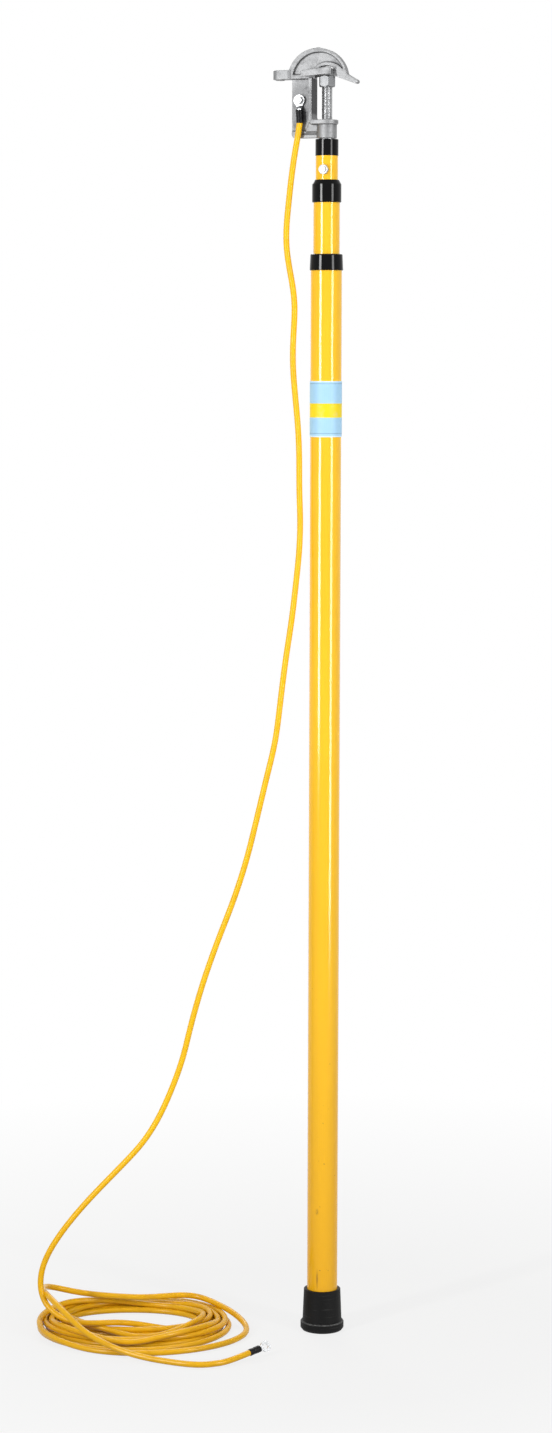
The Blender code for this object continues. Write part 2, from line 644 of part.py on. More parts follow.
def make_screw():
    """Clamp screw with a thinner neck, riveted over the jaw's washer."""
    rivet_base = JAW_BASE + JAW_FLOOR + GAP + JAW_WASHER + GAP
    rivet_top = rivet_base + RIVET_HEIGHT
    screw = turned("clamp_screw", [
        (0.0, rivet_top), (RIVET_RADIUS * 0.7, rivet_top - RIVET_HEIGHT * 0.2),
        (RIVET_RADIUS, rivet_base + 0.0003), (RIVET_RADIUS, rivet_base), (NECK_RADIUS, rivet_base),
        (NECK_RADIUS, THRUST_NUT_TOP), (SCREW_RADIUS, THRUST_NUT_TOP),
        (SCREW_RADIUS, SCREW_BASE), (0.0, SCREW_BASE)], False, 40)
    finish(screw, zinc("screw_zinc"))
    washer = ring("screw_washer", SCREW_WASHER_RADIUS, SCREW_RADIUS + GAP, SCREW_WASHER_BASE,
                  SCREW_WASHER_BASE + SCREW_WASHER, 40)
    finish(washer, zinc("screw_washer_zinc"))
    base = THRUST_NUT_TOP - THRUST_NUT_HEIGHT
    nut = hexagon("thrust_nut", THRUST_NUT_FLATS, base, THRUST_NUT_TOP, 0.0022)
    turn_about_z(nut, THRUST_NUT_TURN)
    combine(nut, rod("thrust_nut_hole", SCREW_RADIUS + GAP, base - 0.01, THRUST_NUT_TOP + 0.01, 40),
            "DIFFERENCE")
    finish(nut, zinc("thrust_nut_zinc"))
    washer_base = JAW_BASE + JAW_FLOOR + GAP
    jaw_washer = ring("jaw_washer", JAW_WASHER_RADIUS, NECK_RADIUS + GAP, washer_base,
                      washer_base + JAW_WASHER, 32)
    finish(jaw_washer, zinc("jaw_washer_zinc"))


def throat_height(x):
    """Height of the hook's throat over the jaw's underside at a place along X."""
    share = (x - THROAT_CENTRE_X) / THROAT_HALF_WIDTH
    return THROAT_RISE * math.sqrt(1 - share * share) - (JAW_BASE - HOOK_LEVEL)


def make_jaw():
    """Yoke jaw: a block under the hook's throat, with an arm on each side of the guide leg."""
    low, high = JAW_BLOCK_X
    arm_inner = LEG_RIB_HALF + JAW_CLEARANCE
    block_top = min(throat_height(low), throat_height(high)) - JAW_CLEARANCE
    jaw = box("moving_jaw", (low, -arm_inner - JAW_ARM / 2, 0.0), (high, arm_inner + JAW_ARM / 2, block_top))
    corner = 0.0012
    left_low, right_low = [rise + HOOK_LEVEL - JAW_BASE for rise in JAW_END_LOW]
    left_high, right_high = [rise + HOOK_LEVEL - JAW_BASE for rise in JAW_END_HIGH]
    for side, sign in (("front", -1), ("back", 1)):
        arm = outline("moving_jaw_" + side, [
            (JAW_LEFT_X + corner, left_low), (JAW_RIGHT_X + 0.0002, right_low),
            (JAW_RIGHT_X + 0.0002, right_high - corner), (JAW_RIGHT_X - corner, right_high),
            (JAW_LEFT_X + corner, left_high), (JAW_LEFT_X, left_high - corner),
            (JAW_LEFT_X, left_low + corner)], JAW_ARM / 2)
        arm.matrix_world = Matrix.Translation((0, sign * (arm_inner + JAW_ARM / 2), 0))
        combine(jaw, arm, "UNION")
    bore = rod("moving_jaw_bore", NECK_RADIUS + GAP, -0.01, block_top + 0.01, 32)
    combine(jaw, bore, "DIFFERENCE")
    seat = rod("moving_jaw_seat", JAW_WASHER_RADIUS + GAP, JAW_FLOOR, block_top + 0.01, 32)
    combine(jaw, seat, "DIFFERENCE")
    finish_raised(jaw, cast_metal("jaw_cast"), JAW_BASE)


def hook_outline():
    """Side view of the hook: flat foot, round throat, horn and dome."""
    foot = HOOK_HEIGHT - BAR_DROP
    centre = (DOME_CENTRE_X, HOOK_HEIGHT - DOME_DROP)
    turn = math.degrees(math.asin((foot - centre[1]) / DOME_RADIUS))
    points = [(THROAT_CENTRE_X - THROAT_HALF_WIDTH, foot)]
    points += arc((THROAT_CENTRE_X, HOOK_HEIGHT), (THROAT_HALF_WIDTH, THROAT_RISE), 180, 0, 28)
    points += arc((HORN_TIP_X, HOOK_HEIGHT - HORN_TIP_DROP), (HORN_TIP_RADIUS, HORN_TIP_RADIUS), -110, 65, 8)
    points += arc(centre, (DOME_RADIUS, DOME_RADIUS), 9.2, 180 - turn, 44)
    return points


def pocket_outline(margin):
    """The recess in each face of the hook, between the dome's rim and the throat's."""
    floor = HOOK_HEIGHT + POCKET_FLOOR - margin
    centre = (POCKET_CENTRE[0], HOOK_HEIGHT + POCKET_CENTRE[1])
    reach = POCKET_RADIUS + margin
    tip = 20 - margin * 2000
    dome_turn = math.degrees(math.asin((floor - centre[1]) / reach))
    dome = arc(centre, (reach, reach), tip, 180 - dome_turn, 32)
    tall, wide = THROAT_BAND - margin, THROAT_BAND_RIGHT - margin
    band_turn = math.degrees(math.asin((floor - HOOK_HEIGHT) / tall))
    band = arc((THROAT_CENTRE_X, HOOK_HEIGHT), (tall, tall), 180 - band_turn, 92, 10)
    band += arc((THROAT_CENTRE_X, HOOK_HEIGHT), (wide, tall), 88, tip + 3, 9)
    return dome + band


def ear_outline(centre):
    """Plan of the ear: a round end, narrowing into the hook's side."""
    hook_left = DOME_CENTRE_X - DOME_RADIUS
    points = [(hook_left + 0.0055, HOOK_HALF_DEPTH - 0.0004), (hook_left + 0.0020, EAR_HALF_DEPTH - 0.0006)]
    points += arc((centre, 0.0), (EAR_HALF_DEPTH, EAR_HALF_DEPTH), 92, 268, 16)
    points += [(hook_left + 0.0020, 0.0006 - EAR_HALF_DEPTH), (hook_left + 0.0055, 0.0004 - HOOK_HALF_DEPTH)]
    return points


def make_casting():
    """Aluminium casting: hook, ear, guide leg, arm and the screw's boss, one solid, built
    with its underside at height 0 and lifted at the end."""
    base = 0.0
    hook_foot = HOOK_HEIGHT - BAR_DROP
    plate_top = base + BOSS_HEIGHT + PLATE_THICKNESS
    foot_top = base + FOOT_BAR_HEIGHT
    casting = outline("clamp_casting", hook_outline(), HOOK_HALF_DEPTH, hole=pocket_outline(0.0))
    combine(casting, outline("hook_web", pocket_outline(0.001), HOOK_WEB_HALF), "UNION")
    apex = HOOK_HEIGHT - DOME_DROP + DOME_RADIUS
    nub = box("hook_nub", (DOME_CENTRE_X - NUB[0] / 2, -NUB[1] / 2, apex - 0.002),
              (DOME_CENTRE_X + NUB[0] / 2, NUB[1] / 2, apex + NUB[2]))
    combine(casting, nub, "UNION")
    centre = EAR_END_X + EAR_HALF_DEPTH
    ear_base = hook_foot - 0.0006
    ear = outline("ear", ear_outline(centre), EAR_HEIGHT / 2, False, ear_base + EAR_HEIGHT / 2)
    combine(casting, ear, "UNION")
    boss = rod("ear_boss", EAR_BOSS_RADIUS, ear_base - EAR_BOSS_DROP, ear_base + 0.002, 24)
    boss.matrix_world = Matrix.Translation((centre, 0, 0))
    combine(casting, boss, "UNION")
    hole = rod("ear_hole", EAR_HOLE_RADIUS, ear_base - 0.01, ear_base + 0.03, 24)
    turn_about_z(hole, math.radians(4))
    hole.matrix_world = Matrix.Translation((centre, 0, 0)) @ hole.matrix_world
    combine(casting, hole, "DIFFERENCE")
    web = box("leg_web", (LEG_LEFT_X, -LEG_WEB_HALF, foot_top - 0.002),
              (LEG_RIB_X[1] - 0.002, LEG_WEB_HALF, hook_foot + 0.0034))
    combine(casting, web, "UNION")
    bolt_hole = rod("lug_bolt_hole", LUG_BOLT_RADIUS + GAP, -0.02, 0.02, 16)
    combine(casting, point_minus_y(bolt_hole, (LUG_X, 0, LUG_HEIGHT)), "DIFFERENCE")
    flange = box("leg_flange", (LEG_RIB_X[0], -LEG_RIB_HALF, plate_top - 0.004),
                 (LEG_RIB_X[1], LEG_RIB_HALF, hook_foot + 0.0007))
    combine(casting, flange, "UNION")
    inner = (LEG_RIB_X[0] + LEG_RIB_X[1]) / 2
    plate_points = [(inner, 0.0005 - LEG_RIB_HALF)]
    plate_points += arc((0.0, 0.0), (PLATE_RADIUS, PLATE_RADIUS), -96, 96, 28)
    plate_points += [(inner, LEG_RIB_HALF - 0.0005)]
    plate = outline("boss_plate", plate_points, PLATE_THICKNESS / 2, False, plate_top - PLATE_THICKNESS / 2)
    combine(casting, plate, "UNION")
    middle = (LEG_RIB_X[1] + FLANGE_FILLET - 0.0002, plate_top + FLANGE_FILLET - 0.0002)
    fillet = outline("flange_fillet", [(inner, middle[1]), (inner, plate_top - 0.002),
                                       (middle[0], plate_top - 0.002)]
                     + arc(middle, (FLANGE_FILLET, FLANGE_FILLET), 270, 180, 6), LEG_RIB_HALF - 0.001)
    combine(casting, fillet, "UNION")
    combine(casting, rod("boss", BOSS_RADIUS, base, plate_top - 0.001, 40), "UNION")
    arm = outline("arm_web", [(LEG_RIB_X[0] - 0.006, foot_top - 0.001), (-BOSS_RADIUS / 2, foot_top - 0.001),
                              (-BOSS_RADIUS / 2, plate_top - 0.002), (LEG_RIB_X[0] + 0.001, plate_top - 0.002),
                              (LEG_RIB_X[0] - 0.0015, plate_top - 0.006),
                              (LEG_RIB_X[0] - 0.0045, foot_top + 0.002)], ARM_WEB_HALF)
    combine(casting, arm, "UNION")
    foot = outline("foot_bar", [(-BOSS_RADIUS / 2, base + 0.0004), (-BOSS_RADIUS / 2, foot_top)]
                   + arc((FOOT_BAR_LEFT_X + 0.0022, foot_top - 0.002), (0.002, 0.002), 90, 180, 4)
                   + arc((FOOT_BAR_LEFT_X + 0.0002 + FOOT_BAR_CORNER, base + 0.0004 + FOOT_BAR_CORNER),
                         (FOOT_BAR_CORNER, FOOT_BAR_CORNER), 180, 270, 6), FOOT_BAR_HALF)
    combine(casting, foot, "UNION")
    for side, sign in (("front", -1), ("back", 1)):
        ends = sorted((sign * (FOOT_BAR_HALF - FOOT_GROOVE_DEPTH), sign * (FOOT_BAR_HALF + 0.001)))
        groove = box("foot_groove_" + side, (LEG_LEFT_X + 0.006, ends[0], base + FOOT_GROOVE[0]),
                     (-BOSS_RADIUS, ends[1], base + FOOT_GROOVE[1]))
        combine(casting, groove, "DIFFERENCE")
    bore = rod("boss_bore", SCREW_RADIUS + GAP, base - 0.01, plate_top + 0.01, 40)
    combine(casting, turn_about_z(bore, math.radians(4)), "DIFFERENCE")
    finish_raised(casting, cast_metal("casting_aluminium"), CASTING_BASE)


def lug_place():
    """Ring centre of the clamp's lug; its own x runs down the cable, its z out along -Y."""
    turn = Matrix.Rotation(-LUG_TILT, 4, "Y") @ Matrix(((0, 1, 0), (0, 0, -1), (-1, 0, 0))).to_4x4()
    return Matrix.Translation((LUG_X, -LEG_WEB_HALF - GAP - LUG_THICKNESS / 2, LUG_LEVEL)) @ turn


def end_place():
    """Ring centre of the free lug; its own x runs back along the cable."""
    origin = cable_point(0, 0, 0)
    ahead = (cable_point(*END_LUG_AHEAD) - origin).normalized()
    face = cable_point(*END_LUG_FACE) - origin
    face = (face - ahead * face.dot(ahead)).normalized()
    across = face.cross(-ahead)
    turn = Matrix((-ahead, across, face)).transposed().to_4x4()
    return Matrix.Translation(cable_point(*END_LUG_CENTRE)) @ turn


def barrel_offset():
    """The barrel stands off the ring's plane, so that its sleeve clears the face behind."""
    return SLEEVE_RADIUS - LUG_THICKNESS / 2 + GAP


def make_lug(name, hole_radius, place):
    """Crimp lug: a flat ring, a neck lofted to a round barrel."""
    half = LUG_THICKNESS / 2
    turn_end = math.degrees(math.asin(NECK_WIDTH / 2 / LUG_RING_RADIUS))
    palm = outline(name, arc((0.0, 0.0), (LUG_RING_RADIUS, LUG_RING_RADIUS), turn_end, 360 - turn_end, 28)
                   + [(NECK_START + 0.0026, -NECK_WIDTH / 2), (NECK_START + 0.0026, NECK_WIDTH / 2)],
                   half, False)
    loft = bmesh.new()
    sides = 16
    flat_loop, round_loop, end_loop = [], [], []
    for i in range(sides):
        angle = math.tau * (i + 0.5) / sides
        flat_y = max(-1.0, min(1.0, 1.6 * math.cos(angle))) * (NECK_WIDTH / 2 - 0.0002)
        flat_z = max(-1.0, min(1.0, 1.6 * math.sin(angle))) * (half - 0.00005)
        flat_loop.append(loft.verts.new((NECK_START + 0.0020, flat_y, flat_z)))
        y, z = BARREL_RADIUS * math.cos(angle), barrel_offset() + BARREL_RADIUS * math.sin(angle)
        round_loop.append(loft.verts.new((NECK_END, y, z)))
        end_loop.append(loft.verts.new((BARREL_END, y, z)))
    for first, second in ((flat_loop, round_loop), (round_loop, end_loop)):
        for i in range(sides):
            loft.faces.new((first[i], first[(i + 1) % sides], second[(i + 1) % sides], second[i]))
    loft.faces.new(flat_loop)
    loft.faces.new(end_loop)
    bmesh.ops.recalc_face_normals(loft, faces=loft.faces)
    mesh = bpy.data.meshes.new(name + "_barrel")
    loft.to_mesh(mesh)
    loft.free()
    combine(palm, add_object(name + "_barrel", mesh), "UNION")
    hole = rod(name + "_hole", hole_radius, -0.01, 0.01, 24)
    combine(palm, hole, "DIFFERENCE")
    palm.matrix_world = place
    for step in palm.modifiers:
        step.object.matrix_world = place
    finish(palm, material(name + "_tin", (0.86, 0.87, 0.88), 0.25, 1.0))


def make_sleeve(name, place):
    """Heat-shrink sleeve over the barrel; the cable meets its lower end."""
    start = NECK_END + GAP
    bore = BARREL_RADIUS + GAP
    floor = BARREL_END + GAP
    profile = [(bore, floor), (bore, start), (SLEEVE_RADIUS, start), (SLEEVE_RADIUS, SLEEVE_END),
               (0.0, SLEEVE_END), (0.0, floor)]
    profile = [(0.0, floor)] + profile[:5]
    sleeve = turned(name, [(r, h) for r, h in reversed(profile)], False, 20)
    to_x = Matrix.Rotation(math.pi / 2, 4, "Y")
    sleeve.matrix_world = place @ Matrix.Translation((0, 0, barrel_offset())) @ to_x
    finish(sleeve, material(name + "_shrink", (0.014, 0.014, 0.015), 0.4))


def make_lug_bolt():
    """Bolt from behind the leg's web, with a washer and a nut over the lug in front."""
    face = LEG_WEB_HALF + GAP
    washer_base = face + LUG_THICKNESS + GAP
    nut_base = washer_base + LUG_WASHER + GAP
    bolt = hexagon("lug_bolt", LUG_BOLT_FLATS, -face - LUG_BOLT_HEAD, -face, 0.0008)
    shank = rod("lug_bolt_shank", LUG_BOLT_RADIUS, -face - LUG_BOLT_HEAD / 2,
                nut_base + LUG_NUT + BOLT_STICK_OUT, 16)
    combine(bolt, shank, "UNION")
    washer = ring("lug_washer", LUG_WASHER_RADIUS, LUG_BOLT_RADIUS + GAP, washer_base,
                  washer_base + LUG_WASHER, 32)
    nut = hexagon("lug_nut", LUG_BOLT_FLATS, nut_base, nut_base + LUG_NUT, 0.0008)
    combine(nut, rod("lug_nut_hole", LUG_BOLT_RADIUS + GAP, 0.0, nut_base * 2, 16), "DIFFERENCE")
    for piece in (bolt, washer, nut):
        point_minus_y(piece, (LUG_X, 0, LUG_LEVEL))
        for step in piece.modifiers:
            if step.type == "BOOLEAN":
                step.object.matrix_world = piece.matrix_world
        finish(piece, zinc(piece.name + "_zinc"))


def make_cable():
    """Hanging cable, its coil on the floor and the free tail, all at their real length."""
    exit_face = lug_place() @ Vector((SLEEVE_END + GAP, 0, barrel_offset()))
    straight = lug_place() @ Vector((SLEEVE_END + GAP + 0.003, 0, barrel_offset()))
    hanging = [straight] + [cable_point(*point) for point in CABLE_ROUTE]
    landing = hanging[-1].copy()
    landing.z = COIL_HEIGHT + GAP
    points = [exit_face] + smooth_path(hanging, CABLE_SPACING) + [landing]
    cable = tube_along("earth_cable", points, CABLE_RADIUS)
    finish(cable, yellow_pvc("cable_pvc"), 80)
    inner, outer, round_off = COIL_INNER_RADIUS, COIL_OUTER_RADIUS, COIL_ROUNDING
    profile = arc((outer - round_off, COIL_HEIGHT - round_off), (round_off, round_off), 90, 0, 3)
    profile += arc((outer - round_off, round_off), (round_off, round_off), 0, -90, 3)
    profile += arc((inner + round_off, round_off), (round_off, round_off), 270, 180, 3)
    profile += arc((inner + round_off, COIL_HEIGHT - round_off), (round_off, round_off), 180, 90, 3)
    coil = turned("cable_coil", profile, True, 48)
    flatten = Matrix.Rotation(CABLE_TURN, 4, "Z") @ Matrix.Diagonal((1.0, COIL_DEPTH_SHARE, 1.0, 1.0))
    coil.matrix_world = Matrix.Translation(cable_point(COIL_ALONG, COIL_OUT, 0.0)) @ flatten
    finish(coil, yellow_pvc("coil_pvc"))
    start = end_place() @ Vector((SLEEVE_END + GAP, 0, barrel_offset()))
    before = end_place() @ Vector((SLEEVE_END + 0.010, 0, barrel_offset()))
    tail = [cable_point(*point) for point in TAIL_ROUTE] + [before]
    points = [tail[0]] + smooth_path(tail[1:], CABLE_SPACING / 2) + [start]
    finish(tube_along("cable_tail", points, CABLE_RADIUS), yellow_pvc("tail_pvc"), 80)


clear_scene()
PARTS = add_collection("telescopic_discharge_rod")
CUTTERS = add_collection("cutters")
make_boot()
make_lower_section()
make_mid_section()
make_top_section()
make_jaw()
make_casting()
make_lug("cable_lug", LUG_HOLE_RADIUS, lug_place())
make_sleeve("cable_sleeve", lug_place())
make_lug_bolt()
make_lug("end_lug", END_HOLE_RADIUS, end_place())
make_sleeve("end_sleeve", end_place())
make_cable()
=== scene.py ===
"""Finish, cable and thread of a telescopic discharge rod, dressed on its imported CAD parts."""
import math

import bmesh
import bpy
import numpy as np
from mathutils import Matrix, Vector


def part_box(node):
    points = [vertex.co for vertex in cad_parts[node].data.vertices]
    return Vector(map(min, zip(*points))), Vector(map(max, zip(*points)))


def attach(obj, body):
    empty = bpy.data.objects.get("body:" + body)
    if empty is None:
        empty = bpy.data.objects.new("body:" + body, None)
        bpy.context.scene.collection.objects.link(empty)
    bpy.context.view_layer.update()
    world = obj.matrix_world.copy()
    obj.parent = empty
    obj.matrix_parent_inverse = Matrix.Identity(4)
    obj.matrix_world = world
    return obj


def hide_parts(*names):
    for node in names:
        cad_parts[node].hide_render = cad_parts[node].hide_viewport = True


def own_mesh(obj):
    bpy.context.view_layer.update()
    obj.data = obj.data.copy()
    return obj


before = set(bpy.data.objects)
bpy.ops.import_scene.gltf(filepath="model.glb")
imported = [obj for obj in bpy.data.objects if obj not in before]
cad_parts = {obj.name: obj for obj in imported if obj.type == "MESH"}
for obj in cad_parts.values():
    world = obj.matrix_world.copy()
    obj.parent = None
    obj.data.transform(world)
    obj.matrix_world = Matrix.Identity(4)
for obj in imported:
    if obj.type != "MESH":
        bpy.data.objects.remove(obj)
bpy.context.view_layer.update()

# Camera.
# The rod stands on a pale floor, seen from a little above mid height, 18 degrees round from
# its front. The camera is some 5 m away, so its tubes show almost without perspective.
VIEW_TURN = math.radians(18)
CAMERA_DISTANCE = 4.87
CAMERA_HEIGHT = 1.456
CAMERA_PITCH = math.radians(6.3)
CAMERA_YAW = math.radians(0.835)
CAMERA_ROLL = math.radians(0.15)
CAMERA_REACH = 60
SENSOR_WIDTH_MM = 36
PHOTO_FOCAL_PX = 3350
PHOTO_HEIGHT_PX = 1433


def in_view_axes(along, out, height):
    """A point given along the picture, out of it towards the camera, and up."""
    return Vector((along * math.cos(VIEW_TURN) + out * math.sin(VIEW_TURN),
                   along * math.sin(VIEW_TURN) - out * math.cos(VIEW_TURN), height))


camera = bpy.data.objects.new("camera", bpy.data.cameras.new("camera"))
bpy.context.scene.collection.objects.link(camera)
bpy.context.scene.camera = camera
camera.data.sensor_fit = "AUTO"
camera.data.sensor_width = SENSOR_WIDTH_MM
camera.data.lens = SENSOR_WIDTH_MM * PHOTO_FOCAL_PX / PHOTO_HEIGHT_PX
camera.data.clip_end = CAMERA_REACH
camera.location = in_view_axes(0, CAMERA_DISTANCE, CAMERA_HEIGHT)
camera.rotation_euler = (Matrix.Rotation(VIEW_TURN + CAMERA_YAW, 3, "Z")
                         @ Matrix.Rotation(math.pi / 2 - CAMERA_PITCH, 3, "X")
                         @ Matrix.Rotation(CAMERA_ROLL, 3, "Z")).to_euler()

# Floor, air and lamps.
# The floor and the air show white to the camera, the floor with a faint shadow of the rod. Strip
# lamps from the left and right give the tubes their upright streaks; wide soft ones stand high
# in front and behind.


class Socket:
    """A shader socket that can be used in sums."""

    def __init__(self, look, socket):
        self.look = look
        self.socket = socket

    def math(self, operation, other, swap=False):
        values = (other, self) if swap else (self, other)
        return self.look.node("ShaderNodeMath", {"operation": operation}, values)

    def __add__(self, other):
        return self.math("ADD", other)

    __radd__ = __add__

    def __sub__(self, other):
        return self.math("SUBTRACT", other)

    def __rsub__(self, other):
        return self.math("SUBTRACT", other, True)

    def __mul__(self, other):
        return self.math("MULTIPLY", other)

    __rmul__ = __mul__

    def __gt__(self, other):
        return self.math("GREATER_THAN", other)

    def __lt__(self, other):
        return self.math("LESS_THAN", other)


class Look:
    """A material under construction: its nodes, and the shader at their end."""

    def __init__(self, name, colour, roughness, metallic=0.0, specular=0.5):
        self.material = bpy.data.materials.new(name)
        self.material.use_nodes = True
        self.tree = self.material.node_tree
        self.shader = self.tree.nodes["Principled BSDF"]
        self.set("Base Color", (*colour, 1.0))
        self.set("Roughness", roughness)
        self.set("Metallic", metallic)
        self.set("Specular IOR Level", specular)

    def set(self, name, value):
        if isinstance(value, Socket):
            self.tree.links.new(value.socket, self.shader.inputs[name])
        else:
            self.shader.inputs[name].default_value = value

    def node(self, kind, settings=(), values=(), output=0):
        """Add a node; its values are a list by place, or a dict by socket."""
        made = self.tree.nodes.new(kind)
        for key, value in dict(settings).items():
            if key == "stops":
                while len(made.color_ramp.elements) < len(value):
                    made.color_ramp.elements.new(0.5)
                for element, (place, colour) in zip(made.color_ramp.elements, value):
                    element.position = place
                    element.color = (*colour, 1.0)
            else:
                setattr(made, key, value)
        pairs = values.items() if isinstance(values, dict) else enumerate(values)
        for key, value in pairs:
            if isinstance(value, Socket):
                self.tree.links.new(value.socket, made.inputs[key])
            else:
                made.inputs[key].default_value = value
        return Socket(self, made.outputs[output])

    def here(self):
        """A point's own place on the object, in metres."""
        return self.node("ShaderNodeTexCoord", output="Object")

    def place(self, scale=(1, 1, 1)):
        """The object's place, stretched."""
        return self.node("ShaderNodeMapping", {}, {"Vector": self.here(), "Scale": scale})

    def noise(self, place, scale, detail=3.0, roughness=0.5):
        return self.node("ShaderNodeTexNoise", {}, {
            "Vector": place, "Scale": scale, "Detail": detail, "Roughness": roughness})

    def ramp(self, value, low, high):
        """0 below low, 1 above high."""
        return self.node("ShaderNodeMapRange", {"clamp": True}, {0: value, 1: low, 2: high})

    def mix(self, share, first, second):
        """Blend of two colours by a share; 6 and 7 are the node's colour sockets."""
        first = (*first, 1.0) if isinstance(first, tuple) else first
        second = (*second, 1.0) if isinstance(second, tuple) else second
        return self.node("ShaderNodeMix", {"data_type": "RGBA"}, {0: share, 6: first, 7: second}, 2)

    def part_of(self, vector, axis):
        """One coordinate of a vector: X, Y or Z."""
        return self.node("ShaderNodeSeparateXYZ", {}, {"Vector": vector}, axis)

    def height(self):
        """The height of a point over the floor, in metres."""
        return self.part_of(self.here(), "Z")

    def length(self, vector):
        return self.node("ShaderNodeVectorMath", {"operation": "LENGTH"}, {0: vector}, "Value")

    def spot(self, centre, size, blur=0.6):
        """1 inside an egg of the given half sizes round a point, fading to 0 at its edge."""
        scale = [1 / half for half in size]
        shift = [-place * share for place, share in zip(centre, scale)]
        local = self.node("ShaderNodeMapping", {}, {
            "Vector": self.here(), "Location": shift, "Scale": scale})
        return 1 - self.ramp(self.length(local), 1 - blur, 1.0)

    def bump(self, height, distance, strength, under=None):
        """Relief of a given depth, laid over the relief under it."""
        values = {"Height": height, "Distance": distance, "Strength": strength}
        if under is not None:
            values["Normal"] = under
        return self.node("ShaderNodeBump", {}, values)


WHITE = (1.0, 1.0, 1.0, 1.0)
FLOOR_COLOUR = (0.46, 0.46, 0.455)
FLOOR_HALF = 14.0
FLOOR_DROP = 0.0006
FLOOR_SHOWN_WHITE = 0.80
FLOOR_FADE_START = 0.35
FLOOR_FADE_END = 1.6
AIR_LIGHT = 0.34
floor_mesh = bpy.data.meshes.new("studio_floor")
floor_corners = [(side * FLOOR_HALF, back * FLOOR_HALF, -FLOOR_DROP)
                 for side, back in ((-1, -1), (1, -1), (1, 1), (-1, 1))]
floor_mesh.from_pydata(floor_corners, [], [(0, 1, 2, 3)])
floor = bpy.data.objects.new("studio_floor", floor_mesh)
bpy.context.scene.collection.objects.link(floor)
floor_look = Look("studio_floor", FLOOR_COLOUR, roughness=0.9, specular=0.1)
light_path = floor_look.node("ShaderNodeLightPath").socket.node
seen_direct = Socket(floor_look, light_path.outputs["Is Camera Ray"])
seen_in_gloss = Socket(floor_look, light_path.outputs["Is Glossy Ray"])
from_rod = floor_look.length(floor_look.here())
faded = floor_look.ramp(from_rod, FLOOR_FADE_START, FLOOR_FADE_END)
shown_share = (seen_direct + seen_in_gloss) * (FLOOR_SHOWN_WHITE + faded * (1 - FLOOR_SHOWN_WHITE))
shown = floor_look.node("ShaderNodeEmission", {}, {"Color": WHITE, "Strength": 1.0})
blended = floor_look.node("ShaderNodeMixShader", {}, {0: shown_share, 2: shown})
floor_look.tree.links.new(floor_look.shader.outputs[0], blended.socket.node.inputs[1])
floor_look.tree.links.new(blended.socket, floor_look.tree.nodes["Material Output"].inputs[0])
floor_mesh.materials.append(floor_look.material)

world = bpy.data.worlds.new("studio_air")
bpy.context.scene.world = world
world.use_nodes = True
air = world.node_tree
background = air.nodes["Background"]
rays = air.nodes.new("ShaderNodeLightPath")
seen = rays.outputs["Is Camera Ray"]
for kind in ("Is Glossy Ray", "Is Transmission Ray"):
    either = air.nodes.new("ShaderNodeMath")
    either.operation = "MAXIMUM"
    air.links.new(seen, either.inputs[0])
    air.links.new(rays.outputs[kind], either.inputs[1])
    seen = either.outputs[0]
level = air.nodes.new("ShaderNodeMapRange")
air.links.new(seen, level.inputs["Value"])
level.inputs["To Min"].default_value = AIR_LIGHT
level.inputs["To Max"].default_value = 1.0
air.links.new(level.outputs[0], background.inputs["Strength"])
background.inputs["Color"].default_value = WHITE


def lamp(name, along, out, height, aimed_at, width, length, power):
    """A soft lamp that looks at the rod, at the height aimed_at."""
    made = bpy.data.objects.new(name, bpy.data.lights.new(name, "AREA"))
    made.data.shape = "RECTANGLE"
    made.data.size = width
    made.data.size_y = length
    made.data.energy = power
    made.location = in_view_axes(along, out, height)
    aim = Vector((0, 0, aimed_at)) - made.location
    made.rotation_euler = aim.to_track_quat("-Z", "Y").to_euler()
    bpy.context.scene.collection.objects.link(made)


lamp("lamp_left", along=-2.0, out=2.1, height=1.65, aimed_at=1.65, width=0.17, length=2.2, power=68)
lamp("lamp_right", along=2.1, out=2.0, height=1.35, aimed_at=1.35, width=0.32, length=2.5, power=58)
lamp("lamp_front", along=0.5, out=3.0, height=4.6, aimed_at=1.4, width=1.8, length=1.8, power=26)
lamp("lamp_back", along=-0.6, out=-3.2, height=3.4, aimed_at=1.2, width=2.0, length=2.0, power=60)
bpy.context.scene.view_settings.view_transform = "Standard"

# Tubes.
# Three pultruded glass-fibre tubes with a yellow gel coat, each sliding in the one below. The
# drawn fibres leave a fine upright grain, and the lowest tube is scuffed near the floor.
TUBE_YELLOW = (0.90, 0.51, 0.014)
TUBE_SHADE = (0.74, 0.36, 0.008)
TUBE_PAINTED_SHADE = (0.64, 0.29, 0.006)
PAINTED_SHADE_HEIGHTS = (0.0, 0.80)
PAINTED_SHADE_SHARE = 0.60
TUBE_ROUGHNESS = 0.14
GRAIN_STRETCH = (900, 900, 14)
GRAIN_DEPTH = 0.00005
CLOUD_STRETCH = (14, 14, 3)
RIPPLE_STRETCH = (140, 140, 110)
RIPPLE_DEPTH = 0.00010
SCUFF_BROWN = (0.16, 0.075, 0.020)
SCRATCH_STRETCH = (60, 60, 26)
SPECK_SCALE = 150.0
SPECK_HEIGHTS = (0.75, 0.1)
SCUFFS = [  # place along, out and up, half sizes, strength
    ((-0.009, 0.0225, 0.183), (0.0035, 0.02, 0.0060), 0.9),
    ((-0.008, 0.0225, 0.084), (0.0022, 0.02, 0.0210), 0.55),
    ((0.004, 0.0225, 0.610), (0.0016, 0.02, 0.0060), 0.35)]


